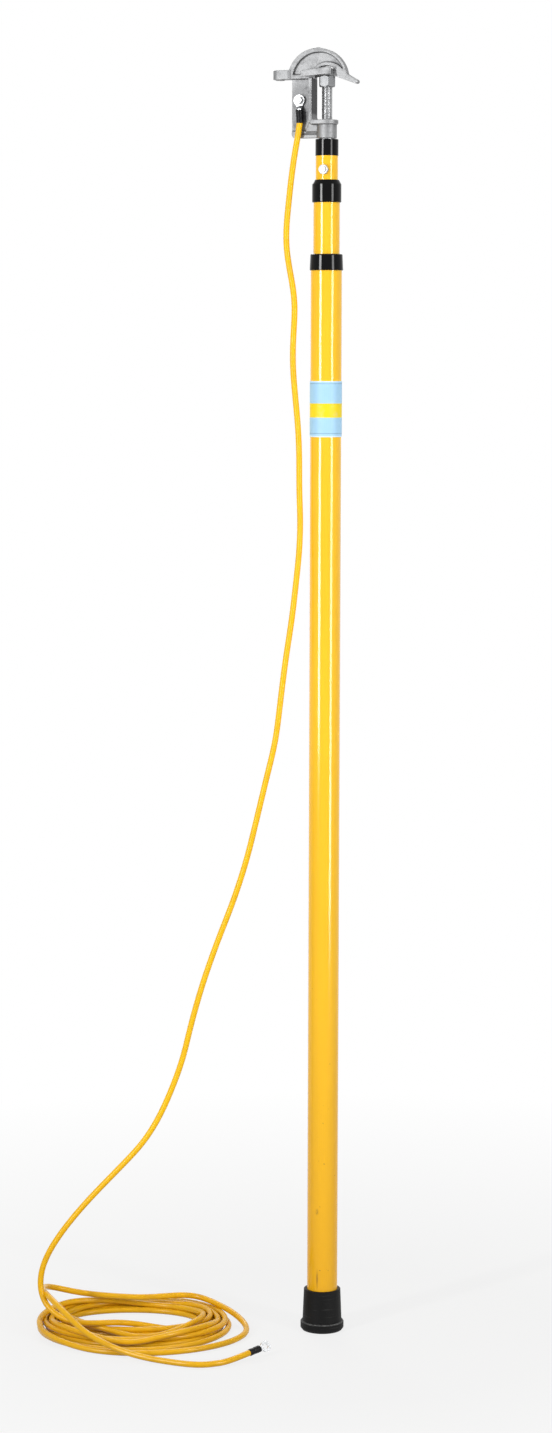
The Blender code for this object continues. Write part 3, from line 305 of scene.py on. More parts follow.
def tube_look(name):
    look = Look(name, TUBE_YELLOW, TUBE_ROUGHNESS, specular=0.3)
    grain = look.noise(look.place(GRAIN_STRETCH), 1.0, roughness=0.6)
    cloud = look.noise(look.place(CLOUD_STRETCH), 1.0)
    ripple = look.noise(look.place(RIPPLE_STRETCH), 1.0, detail=2.0)
    shade = look.ramp(cloud, 0.42, 0.78) * 0.35 + look.ramp(grain, 0.55, 0.85) * 0.22
    # Painted shade: the tube's colour darkens towards the floor.
    low_painted_shade = 1 - look.ramp(look.height(), *PAINTED_SHADE_HEIGHTS)
    look.colour = look.mix(low_painted_shade * PAINTED_SHADE_SHARE, look.mix(shade, TUBE_YELLOW, TUBE_SHADE),
                           TUBE_PAINTED_SHADE)
    look.set("Base Color", look.colour)
    look.set("Roughness", TUBE_ROUGHNESS - 0.05 + grain * 0.10)
    rippled = look.bump(ripple, RIPPLE_DEPTH, strength=0.5)
    look.set("Normal", look.bump(grain, GRAIN_DEPTH, strength=0.6, under=rippled))
    return look


def wear(name, look):
    """Give a carried-over CAD part its finish."""
    materials = bpy.data.objects[name].data.materials
    materials.clear()
    materials.append(look.material)


wear("top_tube", tube_look("top_tube_paint"))
wear("mid_tube", tube_look("mid_tube_paint"))
lower_look = tube_look("lower_tube_paint")
scratch_noise = lower_look.noise(lower_look.place(SCRATCH_STRETCH), 1.0, detail=6.0, roughness=0.7)
scratches = lower_look.ramp(scratch_noise, 0.44, 0.60)
specks = lower_look.ramp(lower_look.noise(lower_look.place(), SPECK_SCALE, detail=2.0), 0.735, 0.76)
marks = specks * lower_look.ramp(lower_look.height(), *SPECK_HEIGHTS) * 0.7
for place, half_sizes, strength in SCUFFS:
    marks = marks + lower_look.spot(in_view_axes(*place), half_sizes) * scratches * strength
lower_look.set("Base Color", lower_look.mix(marks, lower_look.colour, SCUFF_BROWN))
wear("lower_tube", lower_look)

# Collars and cap.
# Black moulded polypropylene rings glued over the tubes' upper ends, and the cap that closes
# the top tube. They are glossy from the mould, with faint moulding waves and a little dust.
PLASTIC_BLACK = (0.0018, 0.0018, 0.0021)
PLASTIC_DUST = (0.02, 0.02, 0.021)
PLASTIC_ROUGHNESS = 0.09
PLASTIC_SPECULAR = 0.11
WAVE_SCALE = 55.0
DUST_SCALE = 420.0
WAVE_DEPTH = 0.0002


def moulded_look(name):
    look = Look(name, PLASTIC_BLACK, PLASTIC_ROUGHNESS, specular=PLASTIC_SPECULAR)
    wave = look.noise(look.place(), WAVE_SCALE)
    dust = look.noise(look.place(), DUST_SCALE, detail=4.0, roughness=0.6)
    look.set("Base Color", look.mix(look.ramp(dust, 0.60, 0.80) * 0.3, PLASTIC_BLACK, PLASTIC_DUST))
    look.set("Roughness", PLASTIC_ROUGHNESS - 0.04 + wave * 0.10)
    look.set("Normal", look.bump(wave, WAVE_DEPTH, strength=0.35))
    return look


for name in ("lower_collar", "mid_collar", "top_cap"):
    wear(name, moulded_look(name + "_plastic"))

# Boot.
# A moulded black rubber boot with a rolled flange, pushed over the lowest tube's end. It is dull,
# with a painted highlight along its flange's top edge and light scratches round it.
RUBBER_BLACK = (0.0032, 0.0032, 0.0032)
SCRATCH_AND_HIGHLIGHT_GREY = (0.11, 0.11, 0.108)
FLANGE_EDGE = 0.0126
EDGE_FADES_BELOW = 0.0010
EDGE_FADES_ABOVE = (0.0008, 0.0016)
RUBBER_GRAIN_SCALE = 260.0
RUBBER_GRAIN_DEPTH = 0.0002
SCRATCHES_ROUND = (30, 30, 700)
boot_look = Look("boot_rubber", RUBBER_BLACK, roughness=0.52, specular=0.15)
# A painted highlight in a thin band along the flange's top edge.
over_edge = boot_look.height() - FLANGE_EDGE
edge = boot_look.ramp(over_edge, -EDGE_FADES_BELOW, 0.0)
edge = edge * (1 - boot_look.ramp(over_edge, *EDGE_FADES_ABOVE))
rubber_grain = boot_look.noise(boot_look.place(), RUBBER_GRAIN_SCALE, detail=4.0, roughness=0.6)
round_scratch = boot_look.noise(boot_look.place(SCRATCHES_ROUND), 1.0, roughness=0.6)
scratches_and_highlight = (edge * boot_look.ramp(rubber_grain, 0.30, 0.60) * 0.8
          + boot_look.ramp(round_scratch, 0.62, 0.76) * 0.30)
boot_look.set("Base Color", boot_look.mix(scratches_and_highlight, RUBBER_BLACK, SCRATCH_AND_HIGHLIGHT_GREY))
boot_look.set("Roughness", 0.46 + rubber_grain * 0.2)
boot_look.set("Normal", boot_look.bump(rubber_grain, RUBBER_GRAIN_DEPTH, strength=0.5))
wear("foot_boot", boot_look)

# Label.
# A printed plastic film stuck round the lowest tube, kept bare of words: pale blue with a
# yellow band, a thin dark rule near each end and paler rims.
FILM_BLUE = (0.36, 0.60, 0.80)
FILM_PALE = (0.62, 0.80, 0.92)
FILM_YELLOW = (0.84, 0.64, 0.014)
FILM_RULE = (0.16, 0.25, 0.36)
FILM_BANDS = [  # where each colour starts, as a share of the label's height
    (0.0, FILM_PALE), (0.022, FILM_BLUE), (0.060, FILM_RULE), (0.069, FILM_BLUE),
    (0.347, FILM_YELLOW), (0.598, FILM_BLUE), (0.948, FILM_RULE), (0.957, FILM_BLUE),
    (0.984, FILM_PALE)]
PRINT_FADE_SCALE = 70.0
label_low, label_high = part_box("label_band")
label_look = Look("label_film", FILM_BLUE, roughness=0.45, specular=0.25)
up_label = label_look.ramp(label_look.height(), label_low[2], label_high[2])
bands = label_look.node("ShaderNodeValToRGB", {"stops": FILM_BANDS}, [up_label])
bands.socket.node.color_ramp.interpolation = "CONSTANT"
print_fade = label_look.noise(label_look.place(), PRINT_FADE_SCALE, detail=4.0, roughness=0.6)
faded_share = label_look.ramp(print_fade, 0.55, 0.85) * 0.25
label_look.set("Base Color", label_look.mix(faded_share, bands, FILM_PALE))
label_look.set("Roughness", 0.38 + print_fade * 0.16)
wear("label_band", label_look)

# Plugs and lock buttons.
# Turned nylon plugs close and guide the tubes' lower ends. A sprung brass button in each snaps
# into the hole of the tube around it when the section is drawn out.
NYLON = (0.72, 0.71, 0.66)
NYLON_SHADE = (0.55, 0.54, 0.49)
TOOL_MARKS = (20, 20, 900)
TOOL_MARK_DEPTH = 0.00006
BRASS = (0.72, 0.50, 0.17)
BRASS_DARK = (0.42, 0.27, 0.09)
STAIN_SCALE = 120.0
METAL_GRAIN_SCALE = 700.0
METAL_GRAIN_DEPTH = 0.00002


def nylon_look(name):
    look = Look(name, NYLON, roughness=0.48)
    tool = look.noise(look.place(TOOL_MARKS), 1.0, detail=2.0)
    look.set("Base Color", look.mix(look.ramp(tool, 0.4, 0.8) * 0.3, NYLON, NYLON_SHADE))
    look.set("Normal", look.bump(tool, TOOL_MARK_DEPTH, strength=0.5))
    return look


def metal_look(name, colour, stain, roughness):
    """Plated or bare metal with cloudy stains and a fine grain."""
    look = Look(name, colour, roughness, metallic=1.0)
    cloud = look.noise(look.place(), STAIN_SCALE, detail=5.0, roughness=0.65)
    grain = look.noise(look.place(), METAL_GRAIN_SCALE, detail=2.0)
    look.set("Base Color", look.mix(look.ramp(cloud, 0.50, 0.80) * 0.6, colour, stain))
    look.set("Roughness", roughness - 0.05 + cloud * 0.22)
    look.set("Normal", look.bump(grain, METAL_GRAIN_DEPTH, strength=0.5))
    return look


for name in ("lower_plug", "mid_plug", "top_plug"):
    wear(name, nylon_look(name + "_nylon"))
for name in ("mid_lock_button", "top_lock_button"):
    wear(name, metal_look(name + "_brass", BRASS, BRASS_DARK, roughness=0.24))

# Bolts, nuts and washers.
# Zinc-plated steel: the rod end in the top tube, the M8 bolt and nut through both, the washers
# under the clamp and in the jaw, and the lug's M6 bolt, nut and washer. The thrust nut, which
# the jaw turns on, is worn duller.
ZINC = (0.42, 0.425, 0.43)
ZINC_DULL = (0.22, 0.225, 0.23)
ZINC_WORN = (0.20, 0.204, 0.208)
for name in ("screw_adapter", "cross_bolt", "cross_nut", "screw_washer", "jaw_washer",
             "lug_bolt", "lug_washer", "lug_nut"):
    wear(name, metal_look(name + "_zinc", ZINC, ZINC_DULL, roughness=0.38))
wear("thrust_nut", metal_look("thrust_nut_zinc", ZINC_WORN, ZINC_DULL, roughness=0.44))

# Clamp screw.
# A zinc-plated M16 screw with a pitch of 2 mm, turned down to a neck above the thrust nut and
# riveted over the jaw's washer. The thread is cut by a helix that runs out at both ends.
SCREW_CORE = 0.00692
SCREW_THREAD = 0.00100
SCREW_PITCH = 0.002
SCREW_BARE_LENGTH = 0.004
NECK_RADIUS = 0.0049
NECK_RISE = 0.0003
RIVET_RADIUS = 0.0064
RIVET_RISE = 0.0004
RIVET_DOME = ((0.45, 0.00012), (0.78, 0.00050), (0.96, 0.0011))
TURNED_SIDES = 48
THREAD_SIDES = 36
THREAD_POINTS_ACROSS = 6
THREAD_CREST = 0.85
THREAD_RUN_OUT = 1.5
THREAD_WELD = 0.00001
THREAD_SHARP = 50


def thread_tree():
    """Geometry nodes that wrap a V-shaped helix round a core."""
    tree = bpy.data.node_groups.new("screw_thread", "GeometryNodeTree")
    tree.interface.new_socket("Geometry", in_out="INPUT", socket_type="NodeSocketGeometry")
    for label, value in (("Core Radius", SCREW_CORE), ("Thread Depth", SCREW_THREAD),
                         ("Pitch", SCREW_PITCH), ("Turns", 10.0), ("Base Height", 0.0)):
        socket = tree.interface.new_socket(label, in_out="INPUT", socket_type="NodeSocketFloat")
        socket.default_value = value
    tree.interface.new_socket("Material", in_out="INPUT", socket_type="NodeSocketMaterial")
    tree.interface.new_socket("Geometry", in_out="OUTPUT", socket_type="NodeSocketGeometry")
    given = {socket.name: socket for socket in tree.nodes.new("NodeGroupInput").outputs}

    def add(kind, values, operation=None):
        made = tree.nodes.new(kind)
        if operation:
            made.operation = operation
        for key, value in values.items():
            if isinstance(value, bpy.types.NodeSocket):
                tree.links.new(value, made.inputs[key])
            else:
                made.inputs[key].default_value = value
        return made.outputs[0]

    def calc(operation, *values):
        return add("ShaderNodeMath", dict(enumerate(values)), operation)

    turns = given["Turns"]
    rows = calc("ADD", calc("MULTIPLY", turns, float(THREAD_SIDES)), 1.0)
    grid = add("GeometryNodeMeshGrid", {"Size X": 1.0, "Size Y": 1.0, "Vertices X": rows,
                                        "Vertices Y": THREAD_POINTS_ACROSS})
    split = tree.nodes.new("ShaderNodeSeparateXYZ")
    tree.links.new(add("GeometryNodeInputPosition", {}), split.inputs[0])
    turn = calc("MULTIPLY", calc("ADD", split.outputs["X"], 0.5), turns)
    across = calc("ADD", split.outputs["Y"], 0.5)
    from_crest = calc("ABSOLUTE", calc("SUBTRACT", calc("MULTIPLY", across, 2.0), 1.0))
    ridge = calc("MINIMUM", calc("SUBTRACT", 1.0, from_crest), THREAD_CREST)
    run_in = calc("MINIMUM", calc("MULTIPLY", turn, THREAD_RUN_OUT), 1.0)
    turns_left = calc("SUBTRACT", turns, turn)
    run_out = calc("MINIMUM", calc("MULTIPLY", turns_left, THREAD_RUN_OUT), 1.0)
    depth = calc("MULTIPLY", calc("MULTIPLY", given["Thread Depth"], ridge),
                 calc("MULTIPLY", run_in, run_out))
    reach = calc("ADD", given["Core Radius"], depth)
    angle = calc("MULTIPLY", turn, math.tau)
    rise = calc("ADD", calc("MULTIPLY", calc("ADD", turn, across), given["Pitch"]),
                given["Base Height"])
    wound = add("ShaderNodeCombineXYZ", {"X": calc("MULTIPLY", reach, calc("COSINE", angle)),
                                         "Y": calc("MULTIPLY", reach, calc("SINE", angle)),
                                         "Z": rise})
    placed = add("GeometryNodeSetPosition", {"Geometry": grid, "Position": wound})
    welded = add("GeometryNodeMergeByDistance", {"Geometry": placed, "Distance": THREAD_WELD})
    both = tree.nodes.new("GeometryNodeJoinGeometry")
    tree.links.new(given["Geometry"], both.inputs[0])
    tree.links.new(welded, both.inputs[0])
    real = add("GeometryNodeRealizeInstances", {"Geometry": both.outputs[0]})
    dressed = add("GeometryNodeSetMaterial", {"Geometry": real, "Material": given["Material"]})
    tree.links.new(dressed, tree.nodes.new("NodeGroupOutput").inputs[0])
    return tree


def finished_mesh(shape, mesh):
    """Turn the faces of a closed shape outwards and write it to a mesh."""
    bmesh.ops.recalc_face_normals(shape, faces=shape.faces)
    shape.to_mesh(mesh)
    shape.free()
    return mesh


def turned_mesh(name, profile):
    """A body turned about Z from its outline, listed top to bottom; ends on the axis close it."""
    shape = bmesh.new()
    rings = []
    for radius, height in profile:
        turns = [math.tau * i / TURNED_SIDES for i in range(TURNED_SIDES)] if radius else [0.0]
        rings.append([shape.verts.new((radius * math.cos(turn), radius * math.sin(turn), height))
                      for turn in turns])
    for upper, lower in zip(rings, rings[1:]):
        for i in range(TURNED_SIDES):
            j = (i + 1) % TURNED_SIDES
            corners = [upper[i % len(upper)], lower[i % len(lower)],
                       lower[j % len(lower)], upper[j % len(upper)]]
            shape.faces.new(list(dict.fromkeys(corners)))
    return finished_mesh(shape, bpy.data.meshes.new(name))


def add_piece(name, mesh, look, sharp_angle=40):
    """A new object in its look, shaded smooth but for its sharp edges."""
    piece = bpy.data.objects.new(name, mesh)
    bpy.context.scene.collection.objects.link(piece)
    mesh.materials.clear()
    mesh.materials.append(look.material)
    mesh.shade_smooth()
    mesh.set_sharp_from_angle(angle=math.radians(sharp_angle))
    return piece


def made_plain(piece):
    """Apply a piece's modifiers to its mesh and remove them."""
    bpy.context.view_layer.update()
    evaluated = piece.evaluated_get(bpy.context.evaluated_depsgraph_get())
    plain = bpy.data.meshes.new_from_object(evaluated)
    piece.modifiers.clear()
    piece.data = plain
    return plain


def threaded(name, core_mesh, look, turns, base):
    """A core mesh with its thread wound on by the geometry nodes, closed at the thread's ends."""
    piece = add_piece(name, core_mesh, look)
    group = thread_tree()
    thread = piece.modifiers.new("thread", "NODES")
    thread.node_group = group
    values = {"Core Radius": SCREW_CORE, "Thread Depth": SCREW_THREAD, "Pitch": SCREW_PITCH,
              "Turns": turns, "Base Height": base, "Material": look.material}
    for item in group.interface.items_tree:
        if item.in_out == "INPUT" and item.name in values:
            thread[item.identifier] = values[item.name]
    plain = made_plain(piece)
    shape = bmesh.new()
    shape.from_mesh(plain)
    rims = [edge for edge in shape.edges if edge.is_boundary]
    bmesh.ops.holes_fill(shape, edges=rims, sides=0)
    finished_mesh(shape, plain)
    plain.shade_smooth()
    plain.set_sharp_from_angle(angle=math.radians(THREAD_SHARP))
    return piece


(_, _, screw_low), (_, _, screw_high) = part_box("clamp_screw")
nut_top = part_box("thrust_nut")[1][2]
washer_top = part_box("jaw_washer")[1][2]
cap_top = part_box("top_cap")[1][2]
screw_profile = [(0.0, screw_high)]
screw_profile += [(RIVET_RADIUS * share, screw_high - drop) for share, drop in RIVET_DOME]
screw_profile += [(RIVET_RADIUS, washer_top + RIVET_RISE), (NECK_RADIUS, washer_top + NECK_RISE),
                  (NECK_RADIUS, nut_top), (SCREW_CORE, nut_top), (SCREW_CORE, screw_low),
                  (0.0, screw_low)]
screw_turns = round((nut_top - cap_top - SCREW_BARE_LENGTH) / SCREW_PITCH)
screw = threaded("clamp_screw_thread", turned_mesh("clamp_screw_thread", screw_profile),
                 metal_look("screw_zinc", ZINC, ZINC_DULL, roughness=0.27), screw_turns, cap_top)
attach(screw, "top_section")
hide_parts("clamp_screw")

# Lock springs.
# Small coils of hard-drawn wire behind the brass buttons, each seated on its plug.
SPRING_STEEL = (0.52, 0.52, 0.53)
SPRING_SHADE = (0.30, 0.30, 0.31)
MERGE_DISTANCE = 0.000002


def merged_copy(node, name):
    """A CAD solid's mesh, its loose triangles joined."""
    shape = bmesh.new()
    shape.from_mesh(bpy.data.objects[node].data)
    bmesh.ops.remove_doubles(shape, verts=shape.verts, dist=MERGE_DISTANCE)
    mesh = bpy.data.meshes.new(name)
    shape.to_mesh(mesh)
    shape.free()
    return mesh


for node, joint, body in (("mid_lock_spring", "mid_lock", "mid_section"),
                          ("top_lock_spring", "top_lock", "top_section")):
    spring_look = metal_look(node + "_steel", SPRING_STEEL, SPRING_SHADE, roughness=0.30)
    spring = add_piece(node + "_coil", merged_copy(node, node + "_coil"), spring_look)
    seat = [(low + high) / 2 for low, high in zip(*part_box(node))]
    seat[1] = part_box(node)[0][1]
    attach(spring, body)
    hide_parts(node)
    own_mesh(spring)

# Clamp casting and jaw.
# Both are sand-cast aluminium: rounded edges and a grainy skin with cloudy stains. Painted shade
# darkens the corners and recesses, and a painted highlight runs along the raised edges. The leg is
# darker, and its face towards the screw is dark with painted shade. They are fine copies of their
# CAD solids.
CAST_GREY = (0.27, 0.273, 0.277)
CAST_DARK = (0.045, 0.045, 0.047)
CAST_EDGE_HIGHLIGHT = (0.60, 0.603, 0.61)
CAST_HOLLOW = (0.44, 0.495)
CAST_RAISED = (0.515, 0.57)
LEG_CENTRE = (-0.0380, 0.0, 1.8010)
LEG_REACH = (0.0280, 0.0500, 0.0400)
LEG_DARKENING = 0.42
GUIDE_FACE = (-0.0240, -0.0080)
GUIDE_HEIGHTS = (1.7860, 1.7900)
GUIDE_SHADE_SHARE = 0.85
SKIN_SCALE = 850.0
SKIN_DEPTH = 0.00022
CLOUD_SCALE = 75.0
PIT_SCALE = 330.0
PIT_DEPTH = 0.00035
CAST_VOXEL = 0.00075
CAST_TRIANGLES = 70000


def cast_look(name):
    look = Look(name, CAST_GREY, roughness=0.58, metallic=0.75, specular=0.2)
    skin = look.noise(look.place(), SKIN_SCALE, detail=4.0, roughness=0.6)
    cloud = look.noise(look.place(), CLOUD_SCALE, detail=5.0, roughness=0.6)
    pits = look.noise(look.place(), PIT_SCALE, detail=2.0)
    bend = look.node("ShaderNodeNewGeometry", output="Pointiness")
    # Painted shade in concave corners and recesses, and a painted highlight along raised edges,
    # both found from the mesh's pointiness.
    recess_shade = 1 - look.ramp(bend, *CAST_HOLLOW)
    raised_highlight = look.ramp(bend, *CAST_RAISED)
    along = look.part_of(look.here(), "X")
    facing = look.part_of(look.node("ShaderNodeNewGeometry", output="Normal"), "X")
    # Painted shade on the leg's face towards the screw, which faces away from the left lamp.
    guide_shade = (look.ramp(facing, 0.60, 0.90) * (along > GUIDE_FACE[0]) * (along < GUIDE_FACE[1])
             * look.ramp(look.height(), *GUIDE_HEIGHTS))
    # Cloudy stains, the painted shade above, and a darker patch round the leg.
    stains_and_shade = (look.ramp(cloud, 0.46, 0.72) * 0.55 + recess_shade * 0.85 + guide_shade * GUIDE_SHADE_SHARE
            + look.spot(LEG_CENTRE, LEG_REACH, 0.4) * LEG_DARKENING)
    colour = look.mix(stains_and_shade, CAST_GREY, CAST_DARK)
    look.set("Base Color", look.mix(raised_highlight * 0.65, colour, CAST_EDGE_HIGHLIGHT))
    look.set("Roughness", 0.44 + skin * 0.18 - raised_highlight * 0.12)
    pitted = look.bump(pits, PIT_DEPTH, strength=0.3)
    look.set("Normal", look.bump(skin, SKIN_DEPTH, strength=0.5, under=pitted))
    return look


def cast_copy(node, name, look):
    """A copy of a CAD solid with the softened edges of a casting."""
    piece = add_piece(name, merged_copy(node, name), look, sharp_angle=180)
    remesh = piece.modifiers.new("skin", "REMESH")
    remesh.mode = "VOXEL"
    remesh.voxel_size = CAST_VOXEL
    soften = piece.modifiers.new("soften", "SMOOTH")
    soften.factor = 0.5
    soften.iterations = 3
    plain = made_plain(piece)
    triangles = sum(len(face.vertices) - 2 for face in plain.polygons)
    if triangles > CAST_TRIANGLES:
        thin = piece.modifiers.new("thin", "DECIMATE")
        thin.ratio = CAST_TRIANGLES / triangles
        plain = made_plain(piece)
    plain.materials.clear()
    plain.materials.append(look.material)
    plain.shade_smooth()
    return piece


for node, slot, body in (("clamp_casting", "casting_aluminium", "clamp"),
                         ("moving_jaw", "jaw_cast", "jaw")):
    casting = cast_copy(node, node + "_skin", cast_look(slot))
    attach(casting, body)
    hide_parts(node)

# Cable lugs and their sleeves.
# Tinned copper ring lugs crimped on the cable's ends. Black heat-shrink covers each barrel,
# cut on a slant at the ring and wrinkled where it shrank on to the sheath.
TIN = (0.62, 0.63, 0.64)
TIN_CLOUDED = (0.52, 0.53, 0.55)
SLEEVE_BLACK = (0.004, 0.004, 0.0045)
LUG_CENTRE = Vector((-0.0402, -0.00455, 1.8074))
LUG_TILT = math.radians(4)
LUG_AXIS = Vector((math.sin(LUG_TILT), 0, -math.cos(LUG_TILT)))
LUG_FACE = Vector((0, -1, 0))
END_CENTRE = in_view_axes(-0.0820, 0.1360, 0.0130)
END_AXIS = -in_view_axes(0.767, -0.624, 0.150).normalized()
END_FACE = in_view_axes(0.566, 0.607, 0.557)
END_FACE = (END_FACE - END_AXIS * END_FACE.dot(END_AXIS)).normalized()
BARREL_OFFSET = 0.00435
CABLE_DIAMETER = 0.0088
CABLE_RADIUS = CABLE_DIAMETER / 2
SLEEVE_START = 0.0126
SLEEVE_END = 0.0326
SLEEVE_RADIUS = 0.0053
SLEEVE_BORE = 0.0040
SLEEVE_MOUTH = CABLE_RADIUS + 0.00012
SLEEVE_MOUTH_DEPTH = 0.0050
SLEEVE_SIDES = 32
SLEEVE_RINGS = 22
SLEEVE_SLANT = 0.0018
SLANT_LENGTH = 0.009
RIPPLE_HEIGHT = 0.00013
RIPPLE_TURNS = 31
WAIST_DEPTH = 0.00028
WAIST_PLACE = 0.62
WAIST_WIDTH = 0.10
CREASE_HEIGHT = 0.00010
CREASES_ROUND = 5
CREASE_TWIST = 900
CRINKLE_SCALE = 380.0
CRINKLE_DEPTH = 0.0002
for name in ("cable_lug", "end_lug"):
    wear(name, metal_look(name + "_tin", TIN, TIN_CLOUDED, roughness=0.24))


def sleeve_walls():
    """The sleeve's outline: how far along it lies, and its radius."""
    walls = [(SLEEVE_START + 0.0002, SLEEVE_BORE), (SLEEVE_START, SLEEVE_RADIUS - 0.0006),
             (SLEEVE_START + 0.0006, SLEEVE_RADIUS - 0.0002)]
    for share in np.linspace(0, 1, SLEEVE_RINGS):
        ripple = RIPPLE_HEIGHT * math.sin(share * RIPPLE_TURNS) * math.sin(share * math.pi)
        waist = WAIST_DEPTH * math.exp(-((share - WAIST_PLACE) / WAIST_WIDTH) ** 2)
        walls.append((SLEEVE_START + 0.0010 + share * (SLEEVE_END - SLEEVE_START - 0.0016),
                      SLEEVE_RADIUS - 0.0002 + ripple - waist))
    return walls + [(SLEEVE_END, SLEEVE_RADIUS - 0.0005), (SLEEVE_END, SLEEVE_MOUTH),
                    (SLEEVE_END - SLEEVE_MOUTH_DEPTH, SLEEVE_MOUTH),
                    (SLEEVE_END - SLEEVE_MOUTH_DEPTH - 0.0006, SLEEVE_BORE)]


def shrink_sleeve(name, centre, axis, face, slant_turn):
    """A sleeve round a barrel, its far end open for the cable."""
    across = axis.cross(face)
    middle = centre + face * BARREL_OFFSET
    shape = bmesh.new()
    rings = []
    for at, radius in sleeve_walls():
        slanted = max(0.0, 1 - (at - SLEEVE_START) / SLANT_LENGTH)
        crease_height = CREASE_HEIGHT if SLEEVE_BORE < radius < SLEEVE_RADIUS else 0.0
        ring = []
        for turn in np.arange(SLEEVE_SIDES) * math.tau / SLEEVE_SIDES:
            crease = crease_height * math.sin(CREASES_ROUND * turn + at * CREASE_TWIST)
            shift = SLEEVE_SLANT * slanted * (1 - math.cos(turn - slant_turn)) / 2
            outwards = face * math.cos(turn) + across * math.sin(turn)
            ring.append(shape.verts.new(middle + axis * (at + shift)
                                        + outwards * min(radius + crease, SLEEVE_RADIUS)))
        rings.append(ring)
    for first, second in zip(rings, rings[1:] + rings[:1]):
        for i in range(SLEEVE_SIDES):
            j = (i + 1) % SLEEVE_SIDES
            shape.faces.new((first[i], first[j], second[j], second[i]))
    look = Look(name + "_look", SLEEVE_BLACK, roughness=0.30, specular=0.16)
    crinkle = look.noise(look.place(), CRINKLE_SCALE, roughness=0.6)
    look.set("Roughness", 0.30 + crinkle * 0.16)
    look.set("Normal", look.bump(crinkle, CRINKLE_DEPTH, strength=0.4))
    return add_piece(name, finished_mesh(shape, bpy.data.meshes.new(name)), look)


clamp_sleeve = shrink_sleeve("clamp_shrink_sleeve", LUG_CENTRE, LUG_AXIS, LUG_FACE,
                             slant_turn=math.radians(90))
end_sleeve = shrink_sleeve("end_shrink_sleeve", END_CENTRE, END_AXIS, END_FACE,
                           slant_turn=math.radians(-60))
for sleeve, node in ((clamp_sleeve, "cable_sleeve"), (end_sleeve, "end_sleeve")):
    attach(sleeve, "clamp")
    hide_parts(node)

# Earth cable.
# Flexible copper strand in a yellow PVC sheath, 9 m of it in all. It hangs from its lug on the
# clamp, swings out to the left and lies on the floor in a loose coil, its last turn thrown over
# the others to the free lug. The routes are points along the picture, out of it and up.
CABLE_YELLOW = (0.84, 0.48, 0.008)
CABLE_GRIME_AND_SHADE = (0.50, 0.225, 0.003)
CABLE_SHADE_HEIGHTS = (0.02, 0.30)
GRIME_SCALE = 38.0
SHEATH_GRAIN_SCALE = 900.0
SHEATH_GRAIN_DEPTH = 0.00006
CABLE_INSERT = 0.004
SLEEVE_TO_CABLE = SLEEVE_END + 0.0003
STRAIGHT_AT_LUG = 0.003
STRAIGHT_AT_END = 0.010
CABLE_EXIT = LUG_CENTRE + LUG_AXIS * SLEEVE_TO_CABLE + LUG_FACE * BARREL_OFFSET
HANGING_ROUTE = [
    (-0.0397, -0.0026, 1.7678), (-0.0427, -0.0026, 1.7508), (-0.0456, -0.0025, 1.7366),
    (-0.0514, -0.0022, 1.6941), (-0.0557, -0.0018, 1.6514), (-0.0585, -0.0015, 1.6201),
    (-0.0570, -0.0011, 1.5872), (-0.0526, -0.0008, 1.5658), (-0.0490, -0.0005, 1.5444),
    (-0.0453, -0.0002, 1.5229), (-0.0459, 0.0002, 1.4943), (-0.0480, 0.0007, 1.4584),
    (-0.0477, 0.0012, 1.4224), (-0.0438, 0.0019, 1.3793), (-0.0398, 0.0026, 1.3360),
    (-0.0382, 0.0033, 1.2926), (-0.0381, 0.0040, 1.2492), (-0.0364, 0.0048, 1.2056),
    (-0.0377, 0.0055, 1.1620), (-0.0427, 0.0065, 1.1110), (-0.0485, 0.0074, 1.0599),
    (-0.0572, 0.0085, 1.0013), (-0.0644, 0.0097, 0.9426), (-0.0717, 0.0109, 0.8837),
    (-0.0855, 0.0121, 0.8247), (-0.0994, 0.0133, 0.7655), (-0.1140, 0.0146, 0.7062),
    (-0.1331, 0.0158, 0.6467), (-0.1559, 0.0172, 0.5870), (-0.1766, 0.0185, 0.5272),
    (-0.1937, 0.0198, 0.4673), (-0.2085, 0.0212, 0.4071), (-0.2315, 0.0226, 0.3468),
    (-0.2465, 0.0233, 0.3166), (-0.2658, 0.0240, 0.2864), (-0.2933, 0.0248, 0.2561),
    (-0.3224, 0.0255, 0.2258), (-0.3507, 0.0262, 0.1954), (-0.3761, 0.0269, 0.1650),
    (-0.3978, 0.0277, 0.1345), (-0.4136, 0.0284, 0.1040), (-0.4190, 0.0290, 0.0790)]
LANDING_ROUTE = [
    (-0.4175, 0.0300, 0.0610), (-0.4130, 0.0345, 0.0450), (-0.4030, 0.0420, 0.0340),
    (-0.3890, 0.0510, 0.0270), (-0.3710, 0.0600, 0.0210), (-0.3500, 0.0650, 0.0150),
    (-0.3270, 0.0630, 0.0090), (-0.3050, 0.0530, 0.0050)]
COIL_TURNS = [
    (-0.3770, 0.042, -0.1820, -0.0750), (-0.3880, 0.058, -0.1710, -0.0860),
    (-0.3990, 0.084, -0.1600, -0.0970), (-0.4100, 0.109, -0.1490, -0.1080),
    (-0.4210, 0.133, -0.1380, -0.1190), (-0.4155, 0.106, -0.1435, -0.1135),
    (-0.4045, 0.119, -0.1545, -0.1025), (-0.3935, 0.054, -0.1655, -0.0915),
    (-0.3825, 0.068, -0.1765, -0.0805), (-0.4210, 0.146, -0.1110, -0.0850)]
